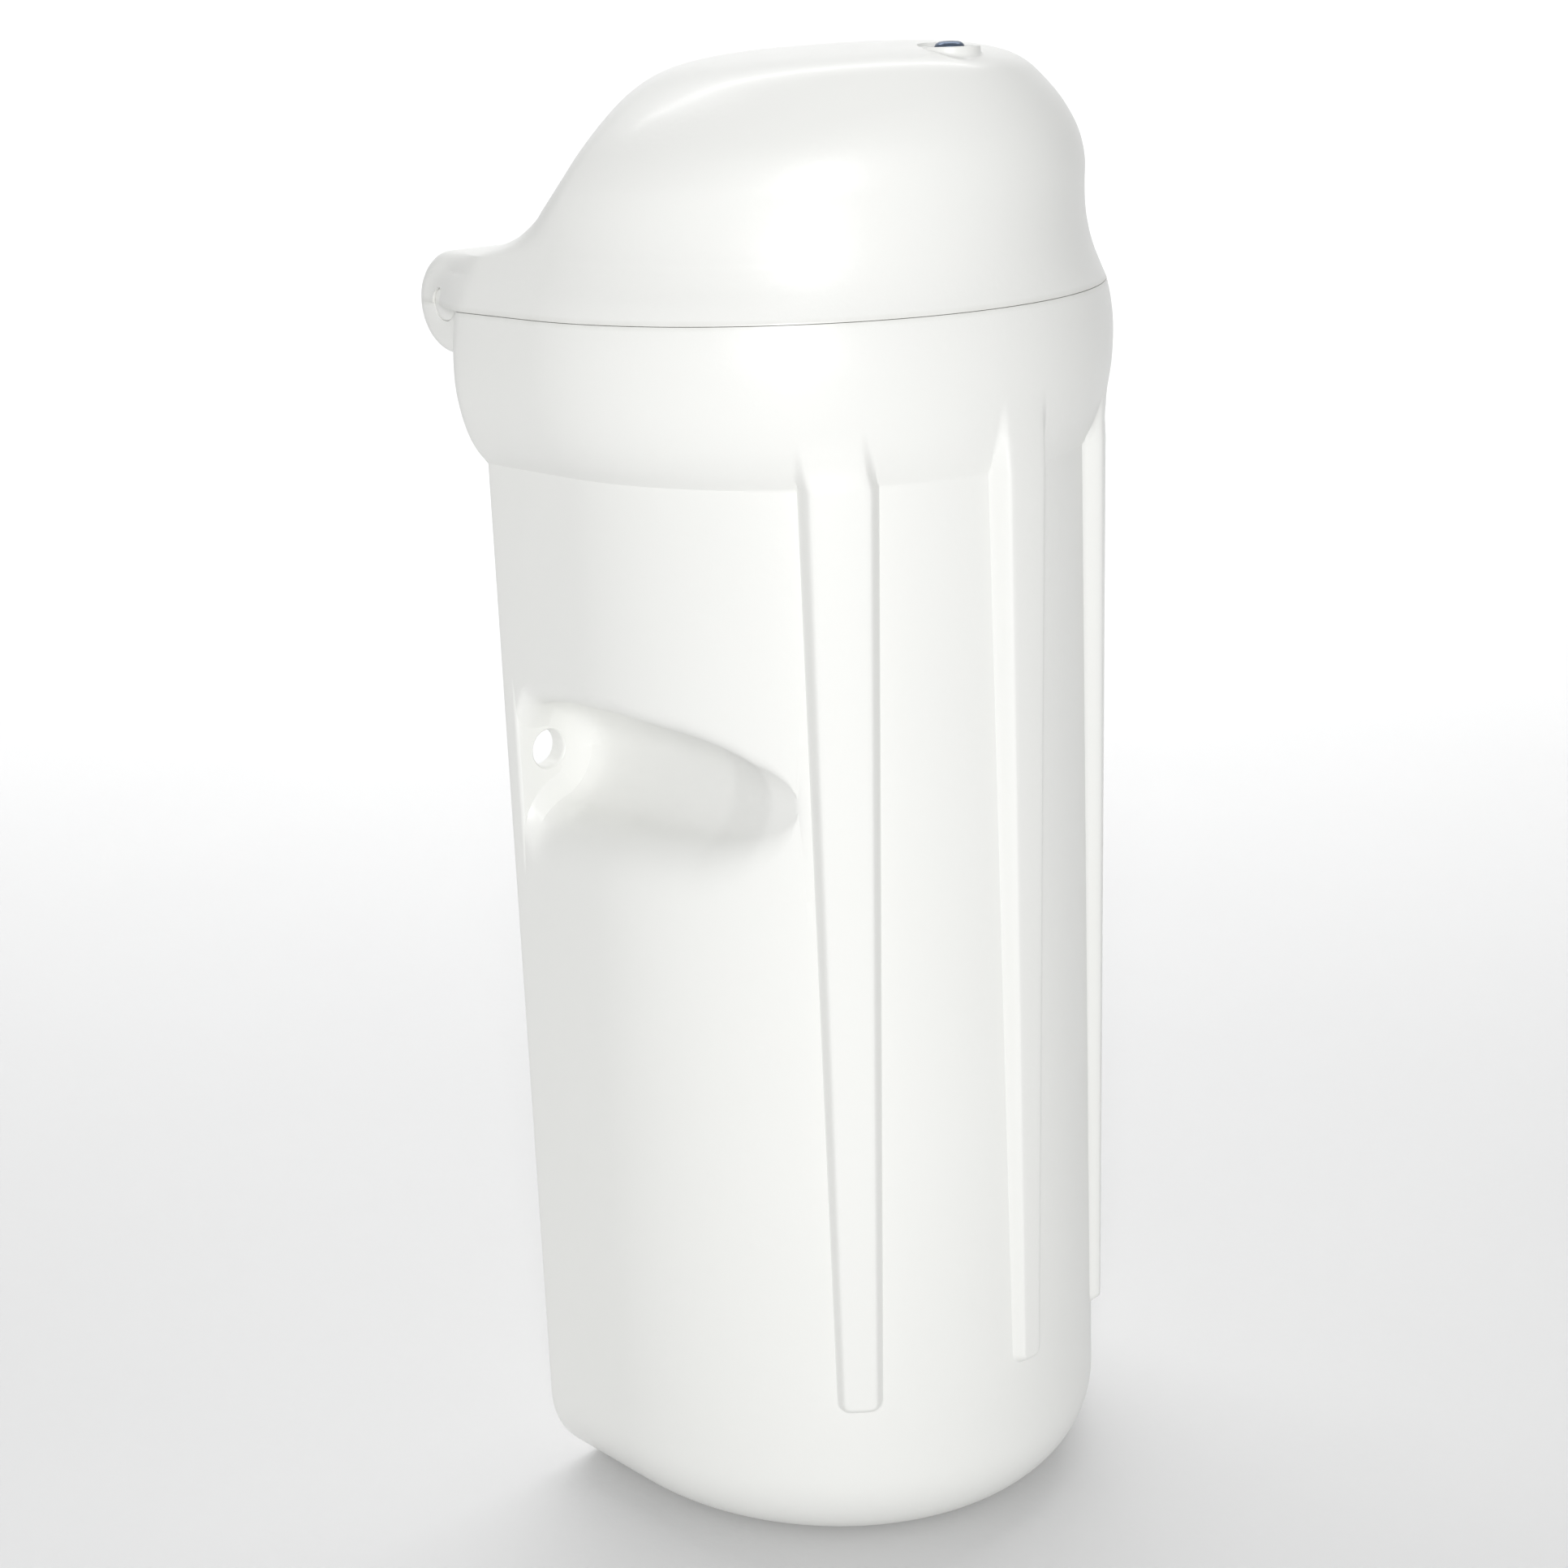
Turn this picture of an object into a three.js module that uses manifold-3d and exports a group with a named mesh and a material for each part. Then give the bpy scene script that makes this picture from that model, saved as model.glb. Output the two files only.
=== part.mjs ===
// Wall-hung fire blanket canister with a hinged lid, and the folded blanket inside it.
// Millimetres, +Z up, front towards -Y. The origin is on the flat underside, on the centre line
// of the rounded front, and X = 0 is the plane that the two sides mirror about.
import * as THREE from 'three';
import { mergeVertices } from 'three/addons/utils/BufferGeometryUtils.js';
import Module from 'manifold-3d';

const wasm = await Module();
wasm.setup();

// ---- driving dimensions ----
const WALL = 3;                 // moulded wall thickness
const GAP = 0.3;                // clearance between pieces that meet
const BODY_HALF = 72.9;         // half width of the straight-sided body
const BODY_FRONT = 79.6;        // reach of the half-elliptical front
const BACK = 34;                // flat back plane
const BOTTOM_RADIUS = 24;       // round edge of the base, front and sides
const NECK_Z = 286;             // where the bell rim starts
const SEAM_Z = 325;             // lid parting plane
const COLLAR_TOP_Z = 331;       // spigot that the lid closes over
const COLLAR_INSET = 7;
const COLLAR_WALL = 2.5;

const HINGE = { y: 47.5, z: SEAM_Z, radius: 13, hood: 10.5, half: 72.8, inner: 57, knuckle: 9.8 };
const PIN_RADIUS = 2.5;
const PIN_HALF = 69;
const CAP = { radius: 4.2, thickness: 2.6, clearance: 0.2 };

// Ribs on the front: where the foot ends, and at the foot and the top the angle from the front
// and the half width. The outer two lean in a little towards the middle one.
const RIBS = [
  { foot_z: 48, foot_angle: 0, top_angle: 0, foot_half: 4.6, top_half: 8.4 },
  { foot_z: 44, foot_angle: -35.3, top_angle: -34, foot_half: 5.9, top_half: 9.7 },
  { foot_z: 44, foot_angle: 35.3, top_angle: 34, foot_half: 5.9, top_half: 9.7 },
];
const RIB_FOOT_PROUD = 2.6;     // height off the wall at the foot and at the neck
const RIB_TOP_PROUD = 4.8;
const RIB_NOSE = 5;             // the foot rounds off over this height
const RIB_SUNK = 1.5;           // how far a rib's root goes into the wall
const RIB_FULLNESS = 0.5;       // 1 is a half ellipse across, less is boxier
// Above the neck the crown sinks back until it is inside the bell: rise and share of the height.
const RIB_FADE = [[0, 1], [8, 0.92], [16, 0.66], [21, 0.38]];

const SCOOP = { x: 64, z: 208.5, radius: 14.3, end: 28.3, hole_x: 63.2, hole_z: 210, hole: 5 };

// The boss for the lid bolt, and the stack of pieces on the bolt from the dish downwards.
const BOSS = { y: -60.5, radius: 7.3, low: 374, top: 384, dish: 5.9, dish_z: 381.6, bore: 3.2 };
const BOLT = {
  radius: 2, head: 3.55, head_low: 382.8, flat_z: 384.1, head_top: 385.1,
  bevel: 1.3, socket: 1.4, socket_low: 383.7, end_z: 368,
};
const CLEAR_BORE = 2.25;        // bore of every washer and of the sleeve
const OUTER_WASHER = { radius: 4.6, low: 381.8, high: 382.6 };
const SLEEVE = { radius: 2.95, low: 374.2, high: 381.3 };
const INNER_WASHER = { radius: 4.5, low: 371.2, high: 372 };
const NUT = { radius: 4, low: 368.2, high: 370.9, sides: 6 };

// The catch leaf's centre line in (Y, Z), from the bolt down to its rounded foot.
const LEAF = { half: 7, thick: 0.8, bore: 2.4 };
const LEAF_LINE = [[-54.5, 373.2], [-60, 373.3], [-65.5, 372.8], [-70.8, 369.2], [-74.2, 362],
  [-74.8, 346], [-73.4, 338], [-71.2, 334], [-69.4, 336]];

// A forked tab on the spigot: its face, its slot, and the two rivets that hold it.
const KEEPER = {
  face: -71.2, half: 11, thick: 1.2, low: 322, high: 336, bevel: 1.4, slot: 7.6, slot_z: 332,
};
const RIVET = { x: 7, z: 327, hole: 1.5, head: 2.6, rim: 0.4, flat: 1.6, shoulder: 1.2, height: 1.4 };

const GASKET = { width: 1.6, height: 2.2 };

const BLANKET = { half: 43, front: -60, back: 22, low: 3.6, high: 292, corner: 16 };
// Distances from the blanket's underside and top, with the inset there.
const BLANKET_FOOT = [[0, 13], [5, 6.5], [12, 2.4], [22, 0.6], [60, 0]];
const BLANKET_HEAD = [[-40, 0], [-6, 0.8], [0, 3.5]];
const TAPE = { x: 21, half: 12.5, thickness: 1.6, from: -34, to: 2, rise: 20, lean: 3, knee: 8, crown: 8 };
const PATCH = { inset: 6, thickness: 1.4 };

// Three knuckles on the flat back carry the pin: middle and half length along X.
const KNUCKLES = [[-38, 11], [0, 14], [38, 11]];
// The web below each knuckle, in (Y, Z) from the pin's centre.
const WEB = [[-14.5, -GAP], [-14.5, -18], [-3.6, -9.1], [2, -GAP]];
const PIN_CLEARANCE = 0.15;
const PAST = 10;                // how far a cutter reaches beyond what it cuts
const OVERLAP = 1;              // how far joined shapes run into each other
const SHELF_INSET = 1;          // shelf under the spigot, in from the rim's outline
const LID_HOLLOW_LOW = 2;       // the lid's hollow starts this far below the seam
const BRIDGE_STEP = 0.1;        // the nose's bridge stays this far below its crown
const CORNER_STEPS = 5;         // facets in a quarter turn
const TAPE_POINTS = 20;         // points along a pull tape's curve

const FRONT_STEPS = 24;         // facets round the front half of an outline
const BACK_STEPS = 18;          // facets round the back half
const ROUND_STEPS = 24;         // facets round a pin, bore or washer

// ---- materials ----
const finish = (color, roughness, metalness = 0) =>
  new THREE.MeshStandardMaterial({ color, roughness, metalness });
const SHELL = finish(0xe9ebe6, 0.28);
const STEEL = finish(0x8f979f, 0.35, 0.9);
const BLUED_STEEL = finish(0x4a5560, 0.4, 0.85);
const SPRING_STEEL = finish(0x9aa1a8, 0.3, 0.9);
const RUBBER = finish(0x24262a, 0.85);
const GLASS_CLOTH = finish(0xdedbd0, 0.9);
const WEBBING = finish(0x1d1f22, 0.8);

// ---- solids ----
function toSolid(geometry) {
  const bare = geometry.clone();
  bare.deleteAttribute('normal');
  bare.deleteAttribute('uv');
  const merged = mergeVertices(bare, 1e-4);
  return new wasm.Manifold(new wasm.Mesh({
    numProp: 3,
    vertProperties: new Float32Array(merged.attributes.position.array),
    triVerts: new Uint32Array(merged.index.array),
  }));
}

function toGeometry(solid) {
  const mesh = solid.getMesh();
  const geometry = new THREE.BufferGeometry();
  geometry.setAttribute('position', new THREE.BufferAttribute(mesh.vertProperties, 3));
  geometry.setIndex(new THREE.BufferAttribute(mesh.triVerts, 1));
  return geometry;
}

// A closed solid through rings of equal point count, listed upwards, each counter-clockwise.
function loft(rings) {
  const count = rings[0].length;
  const points = rings.flat();
  const faces = [];
  for (let r = 0; r + 1 < rings.length; r++) {
    for (let i = 0; i < count; i++) {
      const j = (i + 1) % count;
      const [a, b, c, d] = [r * count + i, r * count + j, (r + 1) * count + j, (r + 1) * count + i];
      faces.push(a, b, c, a, c, d);
    }
  }
  const last = (rings.length - 1) * count;
  const middle = (ring) => ring.reduce((sum, p) => sum.add(p), new THREE.Vector3()).divideScalar(count);
  points.push(middle(rings[0]), middle(rings.at(-1)));
  for (let i = 0; i < count; i++) {
    const j = (i + 1) % count;
    faces.push(points.length - 2, j, i, points.length - 1, last + i, last + j);
  }
  const geometry = new THREE.BufferGeometry().setFromPoints(points);
  geometry.setIndex(faces);
  return toSolid(geometry);
}

// A shape drawn in (Y, Z), extruded along X from -half to half about x.
function alongX(shape, x, half) {
  const geometry = new THREE.ExtrudeGeometry(shape, { depth: 2 * half, bevelEnabled: false });
  const axes = [new THREE.Vector3(0, 1, 0), new THREE.Vector3(0, 0, 1), new THREE.Vector3(1, 0, 0)];
  geometry.applyMatrix4(new THREE.Matrix4().makeBasis(...axes));
  return toSolid(geometry.translate(x - half, 0, 0));
}

// A shape drawn in (X, Z), extruded along Y between two planes.
function alongY(shape, from, to) {
  const geometry = new THREE.ExtrudeGeometry(shape, { depth: to - from, bevelEnabled: false });
  return toSolid(geometry.rotateX(Math.PI / 2).translate(0, to, 0));
}

function rod(radius, x, half) {
  const geometry = new THREE.CylinderGeometry(radius, radius, 2 * half, ROUND_STEPS);
  return toSolid(geometry.rotateZ(Math.PI / 2).translate(x, HINGE.y, HINGE.z));
}

function upright(radius, y, from, to, steps = ROUND_STEPS) {
  const geometry = new THREE.CylinderGeometry(radius, radius, to - from, steps);
  return toSolid(geometry.rotateX(Math.PI / 2).translate(0, y, (from + to) / 2));
}

function block(x0, x1, y0, y1, z0, z1) {
  const geometry = new THREE.BoxGeometry(x1 - x0, y1 - y0, z1 - z0);
  return toSolid(geometry.translate((x0 + x1) / 2, (y0 + y1) / 2, (z0 + z1) / 2));
}

// ---- the plan outline ----
// A half ellipse in front of the centre and a squared-off half behind it; square 2 is an ellipse.
function outline({ z, half, front, back, centre = 0, square = 20 }) {
  const ring = [];
  for (let i = 0; i < FRONT_STEPS; i++) {
    const t = Math.PI + (Math.PI * i) / FRONT_STEPS;
    ring.push(new THREE.Vector3(half * Math.cos(t), centre + (front + centre) * Math.sin(t), z));
  }
  for (let i = 0; i < BACK_STEPS; i++) {
    const t = (Math.PI * i) / BACK_STEPS;
    const c = Math.cos(t);
    const x = half * Math.sign(c) * Math.abs(c) ** (2 / square);
    ring.push(new THREE.Vector3(x, centre + (back - centre) * Math.sin(t) ** (2 / square), z));
  }
  return ring;
}

const inset = (section, by) => ({
  ...section, half: section.half - by, front: section.front - by, back: section.back - by,
});

const BODY_SQUARE = 90;         // a nearly sharp corner to the flat back
const BODY = { half: BODY_HALF, front: BODY_FRONT, back: BACK, square: BODY_SQUARE };
const RIM = { half: 81.8, front: 82, back: BACK, square: 20 };

// The base fillet fades out at the flat back, where the edge stays sharp.
function bodySections(by) {
  const sections = [];
  const radius = BOTTOM_RADIUS - by;
  for (let i = 0; i <= CORNER_STEPS; i++) {
    const t = THREE.MathUtils.degToRad((90 / CORNER_STEPS) * i);
    const pull = radius * (1 - Math.sin(t));
    sections.push({
      z: by + radius * (1 - Math.cos(t)), half: BODY_HALF - by - pull,
      front: BODY_FRONT - by - pull, back: BACK - by, square: BODY_SQUARE,
    });
  }
  return sections;
}

// The bell: it swells quickly above the neck and is widest a little below the seam.
const BELL = [
  { z: NECK_Z, ...BODY },
  { z: 290, half: 76.4, front: 80, back: BACK, square: 60 },
  { z: 295, half: 79.4, front: 80.7, back: BACK, square: 40 },
  { z: 301, half: 81.6, front: 81.9, back: BACK, square: 30 },
  { z: 307, half: 82.8, front: 82.8, back: BACK, square: 26 },
  { z: 314, half: 83.2, front: 83.3, back: BACK, square: 22 },
  { z: 320, half: 82.8, front: 83, back: BACK, square: 20 },
  { z: SEAM_Z, ...RIM },
];

// The lid: rim, hollow sweep up from the hinge, upright wall, then the dome leaning forwards.
const LID = [
  { z: SEAM_Z, ...RIM },
  { z: 329, half: 79.8, front: 80.6, back: BACK, square: 20 },
  { z: 333, half: 77.4, front: 79.8, back: BACK, square: 20 },
  { z: 336.6, half: 75.6, front: 79.4, back: 40, square: 14 },
  { z: 337.5, half: 75.2, front: 79.3, back: 44, square: 11 },
  { z: 338.6, half: 74.8, front: 79.3, back: 39, square: 7 },
  { z: 341, half: 73.9, front: 79.2, back: 32, square: 4 },
  { z: 345, half: 72.9, front: 79.3, back: 28, square: 2.9 },
  { z: 350, half: 72.0, front: 79.6, back: 24.5, centre: -1, square: 2.4 },
  { z: 356, half: 70.3, front: 80, back: 21.5, centre: -4, square: 2.1 },
  { z: 363, half: 66.2, front: 79.2, back: 19.5, centre: -7, square: 2 },
  { z: 370, half: 59.6, front: 76.8, back: 18, centre: -9.5, square: 2 },
  { z: 375.5, half: 52.6, front: 73.8, back: 16, centre: -11, square: 2 },
  { z: 379.6, half: 45.6, front: 70.6, back: 12, centre: -13.5, square: 2 },
  { z: 382.2, half: 38, front: 66, back: 6, centre: -17.5, square: 2 },
  { z: 384, half: 27, front: 59.5, back: -5, centre: -24, square: 2 },
  { z: 385, half: 14, front: 50, back: -22, centre: -33, square: 2 },
];
const LID_TOP_Z = LID.at(-1).z;

const shellLoft = (sections) => loft(sections.map(outline));

// The rim's plan, drawn in by an inset, between two heights.
const rimPlug = (by, low, high) =>
  shellLoft([{ ...inset(RIM, by), z: low }, { ...inset(RIM, by), z: high }]);

// ---- canister ----
function rib({ foot_z, foot_angle, top_angle, foot_half, top_half }) {
  const arcSteps = 8;
  const ring = (z, narrow, share) => {
    const up = (Math.min(z, NECK_Z) - foot_z) / (NECK_Z - foot_z);
    const angle = THREE.MathUtils.degToRad(THREE.MathUtils.lerp(foot_angle, top_angle, up));
    const turn = Math.atan2(Math.sin(angle) * BODY_FRONT, Math.cos(angle) * BODY_HALF);
    const foot = new THREE.Vector2(BODY_HALF * Math.sin(turn), -BODY_FRONT * Math.cos(turn));
    const normal = new THREE.Vector2(foot.x / BODY_HALF ** 2, foot.y / BODY_FRONT ** 2).normalize();
    const half = narrow * THREE.MathUtils.lerp(foot_half, top_half, up);
    const proud = share * THREE.MathUtils.lerp(RIB_FOOT_PROUD, RIB_TOP_PROUD, up);
    const at = (across, out) => new THREE.Vector3(
      foot.x + normal.y * across + normal.x * out,
      foot.y - normal.x * across + normal.y * out, z);
    const points = [];
    for (let i = 0; i <= arcSteps; i++) {
      const t = (Math.PI * i) / arcSteps;
      points.push(at(half * Math.cos(t), proud * Math.sin(t) ** RIB_FULLNESS));
    }
    points.push(at(-half, -RIB_SUNK), at(half, -RIB_SUNK));
    return points;
  };
  const rings = [0.15, 0.5, 0.8, 1].map((s) => {
    const round = Math.sin((s * Math.PI) / 2);
    return ring(foot_z + RIB_NOSE * s ** 2, round, round);
  });
  for (const [rise, share] of RIB_FADE) rings.push(ring(NECK_Z + rise, 1, share));
  return loft(rings);
}

// The screwdriver channel's section: round at the bottom, open to the outside.
function scoopShape(side, radius, mouth) {
  const shape = new THREE.Shape();
  const start = side > 0 ? Math.PI / 2 : -Math.PI / 2;
  shape.moveTo(side * mouth, SCOOP.z + side * radius);
  shape.lineTo(side * SCOOP.x, SCOOP.z + side * radius);
  shape.absarc(side * SCOOP.x, SCOOP.z, radius, start, start + Math.PI, false);
  shape.lineTo(side * mouth, SCOOP.z - side * radius);
  return shape;
}

function canisterBody() {
  const outer = shellLoft([...bodySections(0), ...BELL]);
  let body = outer;
  for (const spec of RIBS) body = body.add(rib(spec));
  const cavity = [...bodySections(WALL), ...BELL.map((section) => inset(section, WALL))];
  body = body.subtract(shellLoft([...cavity, { ...inset(RIM, WALL), z: SEAM_Z + PAST }]));

  // Shelf and spigot round the mouth.
  const mouth = COLLAR_INSET + COLLAR_WALL;
  const shelf = rimPlug(SHELF_INSET, SEAM_Z - WALL, SEAM_Z)
    .add(rimPlug(COLLAR_INSET, SEAM_Z - OVERLAP, COLLAR_TOP_Z));
  body = body.add(shelf.subtract(rimPlug(mouth, SEAM_Z - PAST, COLLAR_TOP_Z + PAST)));

  // A channel on each side, closed at the back by a pad with the wall-screw hole.
  for (const side of [-1, 1]) {
    const far = BODY_FRONT + PAST;
    const tube = alongY(scoopShape(side, SCOOP.radius + WALL, BODY_HALF + PAST), -far, BACK);
    body = body.add(tube.intersect(outer));
    body = body.subtract(alongY(scoopShape(side, SCOOP.radius, BODY_HALF + PAST), -far, SCOOP.end));
    const hole = new THREE.Shape().absarc(side * SCOOP.hole_x, SCOOP.hole_z, SCOOP.hole, 0, 2 * Math.PI);
    body = body.subtract(alongY(hole, SCOOP.end - PAST, BACK + PAST));
  }

  const web = new THREE.Shape(WEB.map(([y, z]) => new THREE.Vector2(HINGE.y + y, HINGE.z + z)));
  for (const [x, half] of KNUCKLES) {
    body = body.add(rod(HINGE.knuckle, x, half)).add(alongX(web, x, half));
  }
  return body.subtract(rod(PIN_RADIUS + PIN_CLEARANCE, 0, HINGE.half));
}

// ---- lid ----
function lidShell() {
  const lift = (z) => SEAM_Z + ((z - SEAM_Z) * (LID_TOP_Z - WALL - SEAM_Z)) / (LID_TOP_Z - SEAM_Z);
  const inner = LID.map((section) => {
    const hollow = inset(section, WALL);
    return { ...hollow, back: Math.min(hollow.back, BACK - WALL), z: lift(section.z) };
  });
  inner[0].z = SEAM_Z - LID_HOLLOW_LOW;

  // Boss for the lid bolt. It stands off the dome's front slope, level on top, and hangs inside.
  const boss = upright(BOSS.radius, BOSS.y, BOSS.low, BOSS.top);

  // The hinge hood behind the flat back, solid at its two ends where it becomes a full knuckle.
  const { y, z, radius, hood, half, inner: open } = HINGE;
  const upper = block(-half, half, BACK - OVERLAP, y + radius + PAST, z, z + radius + PAST);
  const bridge = block(-half, half, BACK - OVERLAP, y, z, z + radius - BRIDGE_STEP);
  let nose = rod(radius, 0, half).intersect(upper).add(bridge);
  const hollow = rod(hood, 0, open).add(block(-open, open, BACK, y, z - OVERLAP, z + hood));
  nose = nose.subtract(hollow);
  for (const side of [-1, 1]) {
    nose = nose.add(rod(radius, side * (open + half) / 2, (half - open) / 2));
  }

  let lid = shellLoft(LID).add(boss).subtract(shellLoft(inner).subtract(boss)).add(nose);
  lid = lid.subtract(upright(BOSS.radius, BOSS.y, BOSS.top, BOSS.top + PAST));
  lid = lid.subtract(upright(BOSS.dish, BOSS.y, BOSS.dish_z, BOSS.top + PAST));
  lid = lid.subtract(upright(BOSS.bore, BOSS.y, BOSS.low - PAST, BOSS.top + PAST));
  lid = lid.subtract(rod(PIN_RADIUS + PIN_CLEARANCE, 0, half + PAST));
  for (const side of [-1, 1]) {
    lid = lid.subtract(rod(CAP.radius + CAP.clearance, side * half, CAP.thickness + CAP.clearance));
  }
  // The parting gap all round.
  const wide = RIM.half + PAST;
  return lid.subtract(block(-wide, wide, -wide, BACK + GAP, SEAM_Z - PAST, SEAM_Z + GAP));
}

// ---- seal ----
function rimGasket() {
  const low = SEAM_Z + GAP;
  const high = low + GASKET.height;
  const outer = rimPlug(COLLAR_INSET - GAP - GASKET.width, low, high);
  return outer.subtract(rimPlug(COLLAR_INSET - GAP, low - PAST, high + PAST));
}

// ---- lid bolt and catch ----
function lidBolt() {
  const { radius, head, head_low, flat_z, head_top, bevel, socket, socket_low, end_z } = BOLT;
  const crown = new THREE.CylinderGeometry(head - bevel, head, head_top - flat_z, ROUND_STEPS);
  crown.rotateX(Math.PI / 2).translate(0, BOSS.y, (flat_z + head_top) / 2);
  const shank = upright(radius, BOSS.y, end_z, head_low + GAP);
  const hex = upright(socket, BOSS.y, socket_low, head_top + PAST, 6);
  return upright(head, BOSS.y, head_low, flat_z).add(toSolid(crown)).add(shank).subtract(hex);
}

function onBolt({ radius, low, high, sides = ROUND_STEPS }) {
  return upright(radius, BOSS.y, low, high, sides)
    .subtract(upright(CLEAR_BORE, BOSS.y, low - PAST, high + PAST));
}

// A leaf that hangs from the bolt, follows the inside of the lid and ends in a rounded foot.
function catchSpring() {
  const tension = 0.3;
  const points = LEAF_LINE.map(([y, z]) => new THREE.Vector3(y, z, 0));
  const line = new THREE.CatmullRomCurve3(points, false, 'catmullrom', tension).getPoints(28);
  const offset = (p, i, by) => {
    const next = line[Math.min(i + 1, line.length - 1)];
    const along = next.clone().sub(line[Math.max(i - 1, 0)]).normalize();
    return new THREE.Vector2(p.x - along.y * by, p.y + along.x * by);
  };
  const near = line.map((p, i) => offset(p, i, LEAF.thick / 2));
  const far = line.map((p, i) => offset(p, i, -LEAF.thick / 2)).reverse();
  const strip = alongX(new THREE.Shape([...near, ...far]), 0, LEAF.half);
  return strip.subtract(upright(LEAF.bore, BOSS.y, NUT.low, BOSS.low + GAP));
}

// The foot of the leaf drops between the keeper's two ears.
function catchKeeper() {
  const { face, half, thick, low, high, bevel, slot, slot_z } = KEEPER;
  const tab = new THREE.Shape([[0, low], [thick, low], [thick, high - bevel], [0, high]]
    .map(([y, z]) => new THREE.Vector2(face + y, z)));
  const notch = block(-slot, slot, face - PAST, face + PAST, slot_z, high + PAST);
  let keeper = alongX(tab, 0, half).subtract(notch);
  for (const x of [-RIVET.x, RIVET.x]) {
    const hole = new THREE.Shape().absarc(x, RIVET.z, RIVET.hole, 0, 2 * Math.PI);
    keeper = keeper.subtract(alongY(hole, face - PAST, face + PAST));
  }
  return keeper;
}

function keeperRivet(x) {
  const { head, rim, flat, shoulder, height, z } = RIVET;
  const points = [[0, 0], [head, 0], [head, rim], [flat, shoulder], [0, height]]
    .map(([r, h]) => new THREE.Vector2(r, h));
  const solid = new THREE.LatheGeometry(points, ROUND_STEPS);
  return toSolid(solid.translate(x, KEEPER.face + KEEPER.thick + GAP, z));
}

// ---- the folded blanket ----
function roundedRing(z, { half, front, back, corner }, by) {
  const ring = [];
  const r = corner;
  const corners = [[half - by - r, back - by - r, 0], [-half + by + r, back - by - r, 90],
    [-half + by + r, front + by + r, 180], [half - by - r, front + by + r, 270]];
  for (const [x, y, start] of corners) {
    for (let i = 0; i <= CORNER_STEPS; i++) {
      const t = THREE.MathUtils.degToRad(start + (90 / CORNER_STEPS) * i);
      ring.push(new THREE.Vector3(x + r * Math.cos(t), y + r * Math.sin(t), z));
    }
  }
  return ring;
}

function fireBlanket() {
  const { low, high } = BLANKET;
  const foot = BLANKET_FOOT.map(([up, by]) => [low + up, by]);
  const head = BLANKET_HEAD.map(([up, by]) => [high + up, by]);
  const steps = [...foot, ...head];
  return loft(steps.map(([z, by]) => roundedRing(z, BLANKET, by)));
}

// A loop of webbing that stands on the folded edge, ready to grab.
function pullTape(x) {
  const { from, to, rise, thickness } = TAPE;
  const low = BLANKET.high + GAP;
  const centre = (from + to) / 2;
  const reach = (to - from) / 2;
  // One side of the loop, as distance from its middle and height over the blanket.
  const leg = [[reach, thickness / 2], [reach - TAPE.lean, TAPE.knee], [TAPE.crown, rise]];
  const path = [...leg, ...leg.map(([out, up]) => [-out, up]).reverse()]
    .map(([out, up]) => new THREE.Vector3(centre + out, low + up, 0));
  const line = new THREE.CatmullRomCurve3(path).getPoints(TAPE_POINTS);
  const middle = new THREE.Vector3(centre, low, 0);
  const inner = line.map((p) => {
    const out = p.clone().sub(middle).normalize().multiplyScalar(thickness);
    return new THREE.Vector2(p.x - out.x, Math.max(p.y - out.y, low));
  });
  const outer = line.map((p) => new THREE.Vector2(p.x, p.y)).reverse();
  return alongX(new THREE.Shape([...inner, ...outer]), x, TAPE.half);
}

function tapePatch(x) {
  const low = BLANKET.high + GAP;
  const { inset: by, thickness } = PATCH;
  return block(x - TAPE.half, x + TAPE.half, TAPE.from + by, TAPE.to - by, low, low + thickness);
}

// ---- assembly ----
function part(name, solid, material) {
  const mesh = new THREE.Mesh(toGeometry(solid), material);
  mesh.name = name;
  return mesh;
}

const canister = new THREE.Group();
canister.add(
  part('canister_body', canisterBody(), SHELL),
  part('rim_gasket', rimGasket(), RUBBER),
  part('hinge_pin', rod(PIN_RADIUS, 0, PIN_HALF), STEEL),
  part('catch_keeper', catchKeeper(), SPRING_STEEL),
  part('keeper_rivet_left', keeperRivet(-RIVET.x), STEEL),
  part('keeper_rivet_right', keeperRivet(RIVET.x), STEEL),
);

const lid = new THREE.Group();
const capMiddle = HINGE.half - CAP.thickness / 2;
lid.add(
  part('lid_shell', lidShell(), SHELL),
  part('pin_cap_left', rod(CAP.radius, -capMiddle, CAP.thickness / 2), SHELL),
  part('pin_cap_right', rod(CAP.radius, capMiddle, CAP.thickness / 2), SHELL),
  part('lid_bolt', lidBolt(), BLUED_STEEL),
  part('bolt_washer_outer', onBolt(OUTER_WASHER), STEEL),
  part('bolt_sleeve', onBolt(SLEEVE), STEEL),
  part('bolt_washer_inner', onBolt(INNER_WASHER), STEEL),
  part('bolt_nut', onBolt(NUT), STEEL),
  part('catch_spring', catchSpring(), SPRING_STEEL),
);

const contents = new THREE.Group();
contents.add(
  part('fire_blanket', fireBlanket(), GLASS_CLOTH),
  part('pull_tape_left', pullTape(-TAPE.x), WEBBING),
  part('pull_tape_right', pullTape(TAPE.x), WEBBING),
  part('tape_patch_left', tapePatch(-TAPE.x), GLASS_CLOTH),
  part('tape_patch_right', tapePatch(TAPE.x), GLASS_CLOTH),
);

const assembly = new THREE.Group();
assembly.add(canister, lid, contents);
export default assembly;
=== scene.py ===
# Looks of the fire blanket canister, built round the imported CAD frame.
# Shapes are worked out in millimetres and written to meshes in metres. +Z is up, the front is -Y.
import math

import bmesh
import bpy
import numpy as np
from mathutils import Matrix, Vector
from mathutils.bvhtree import BVHTree


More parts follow.
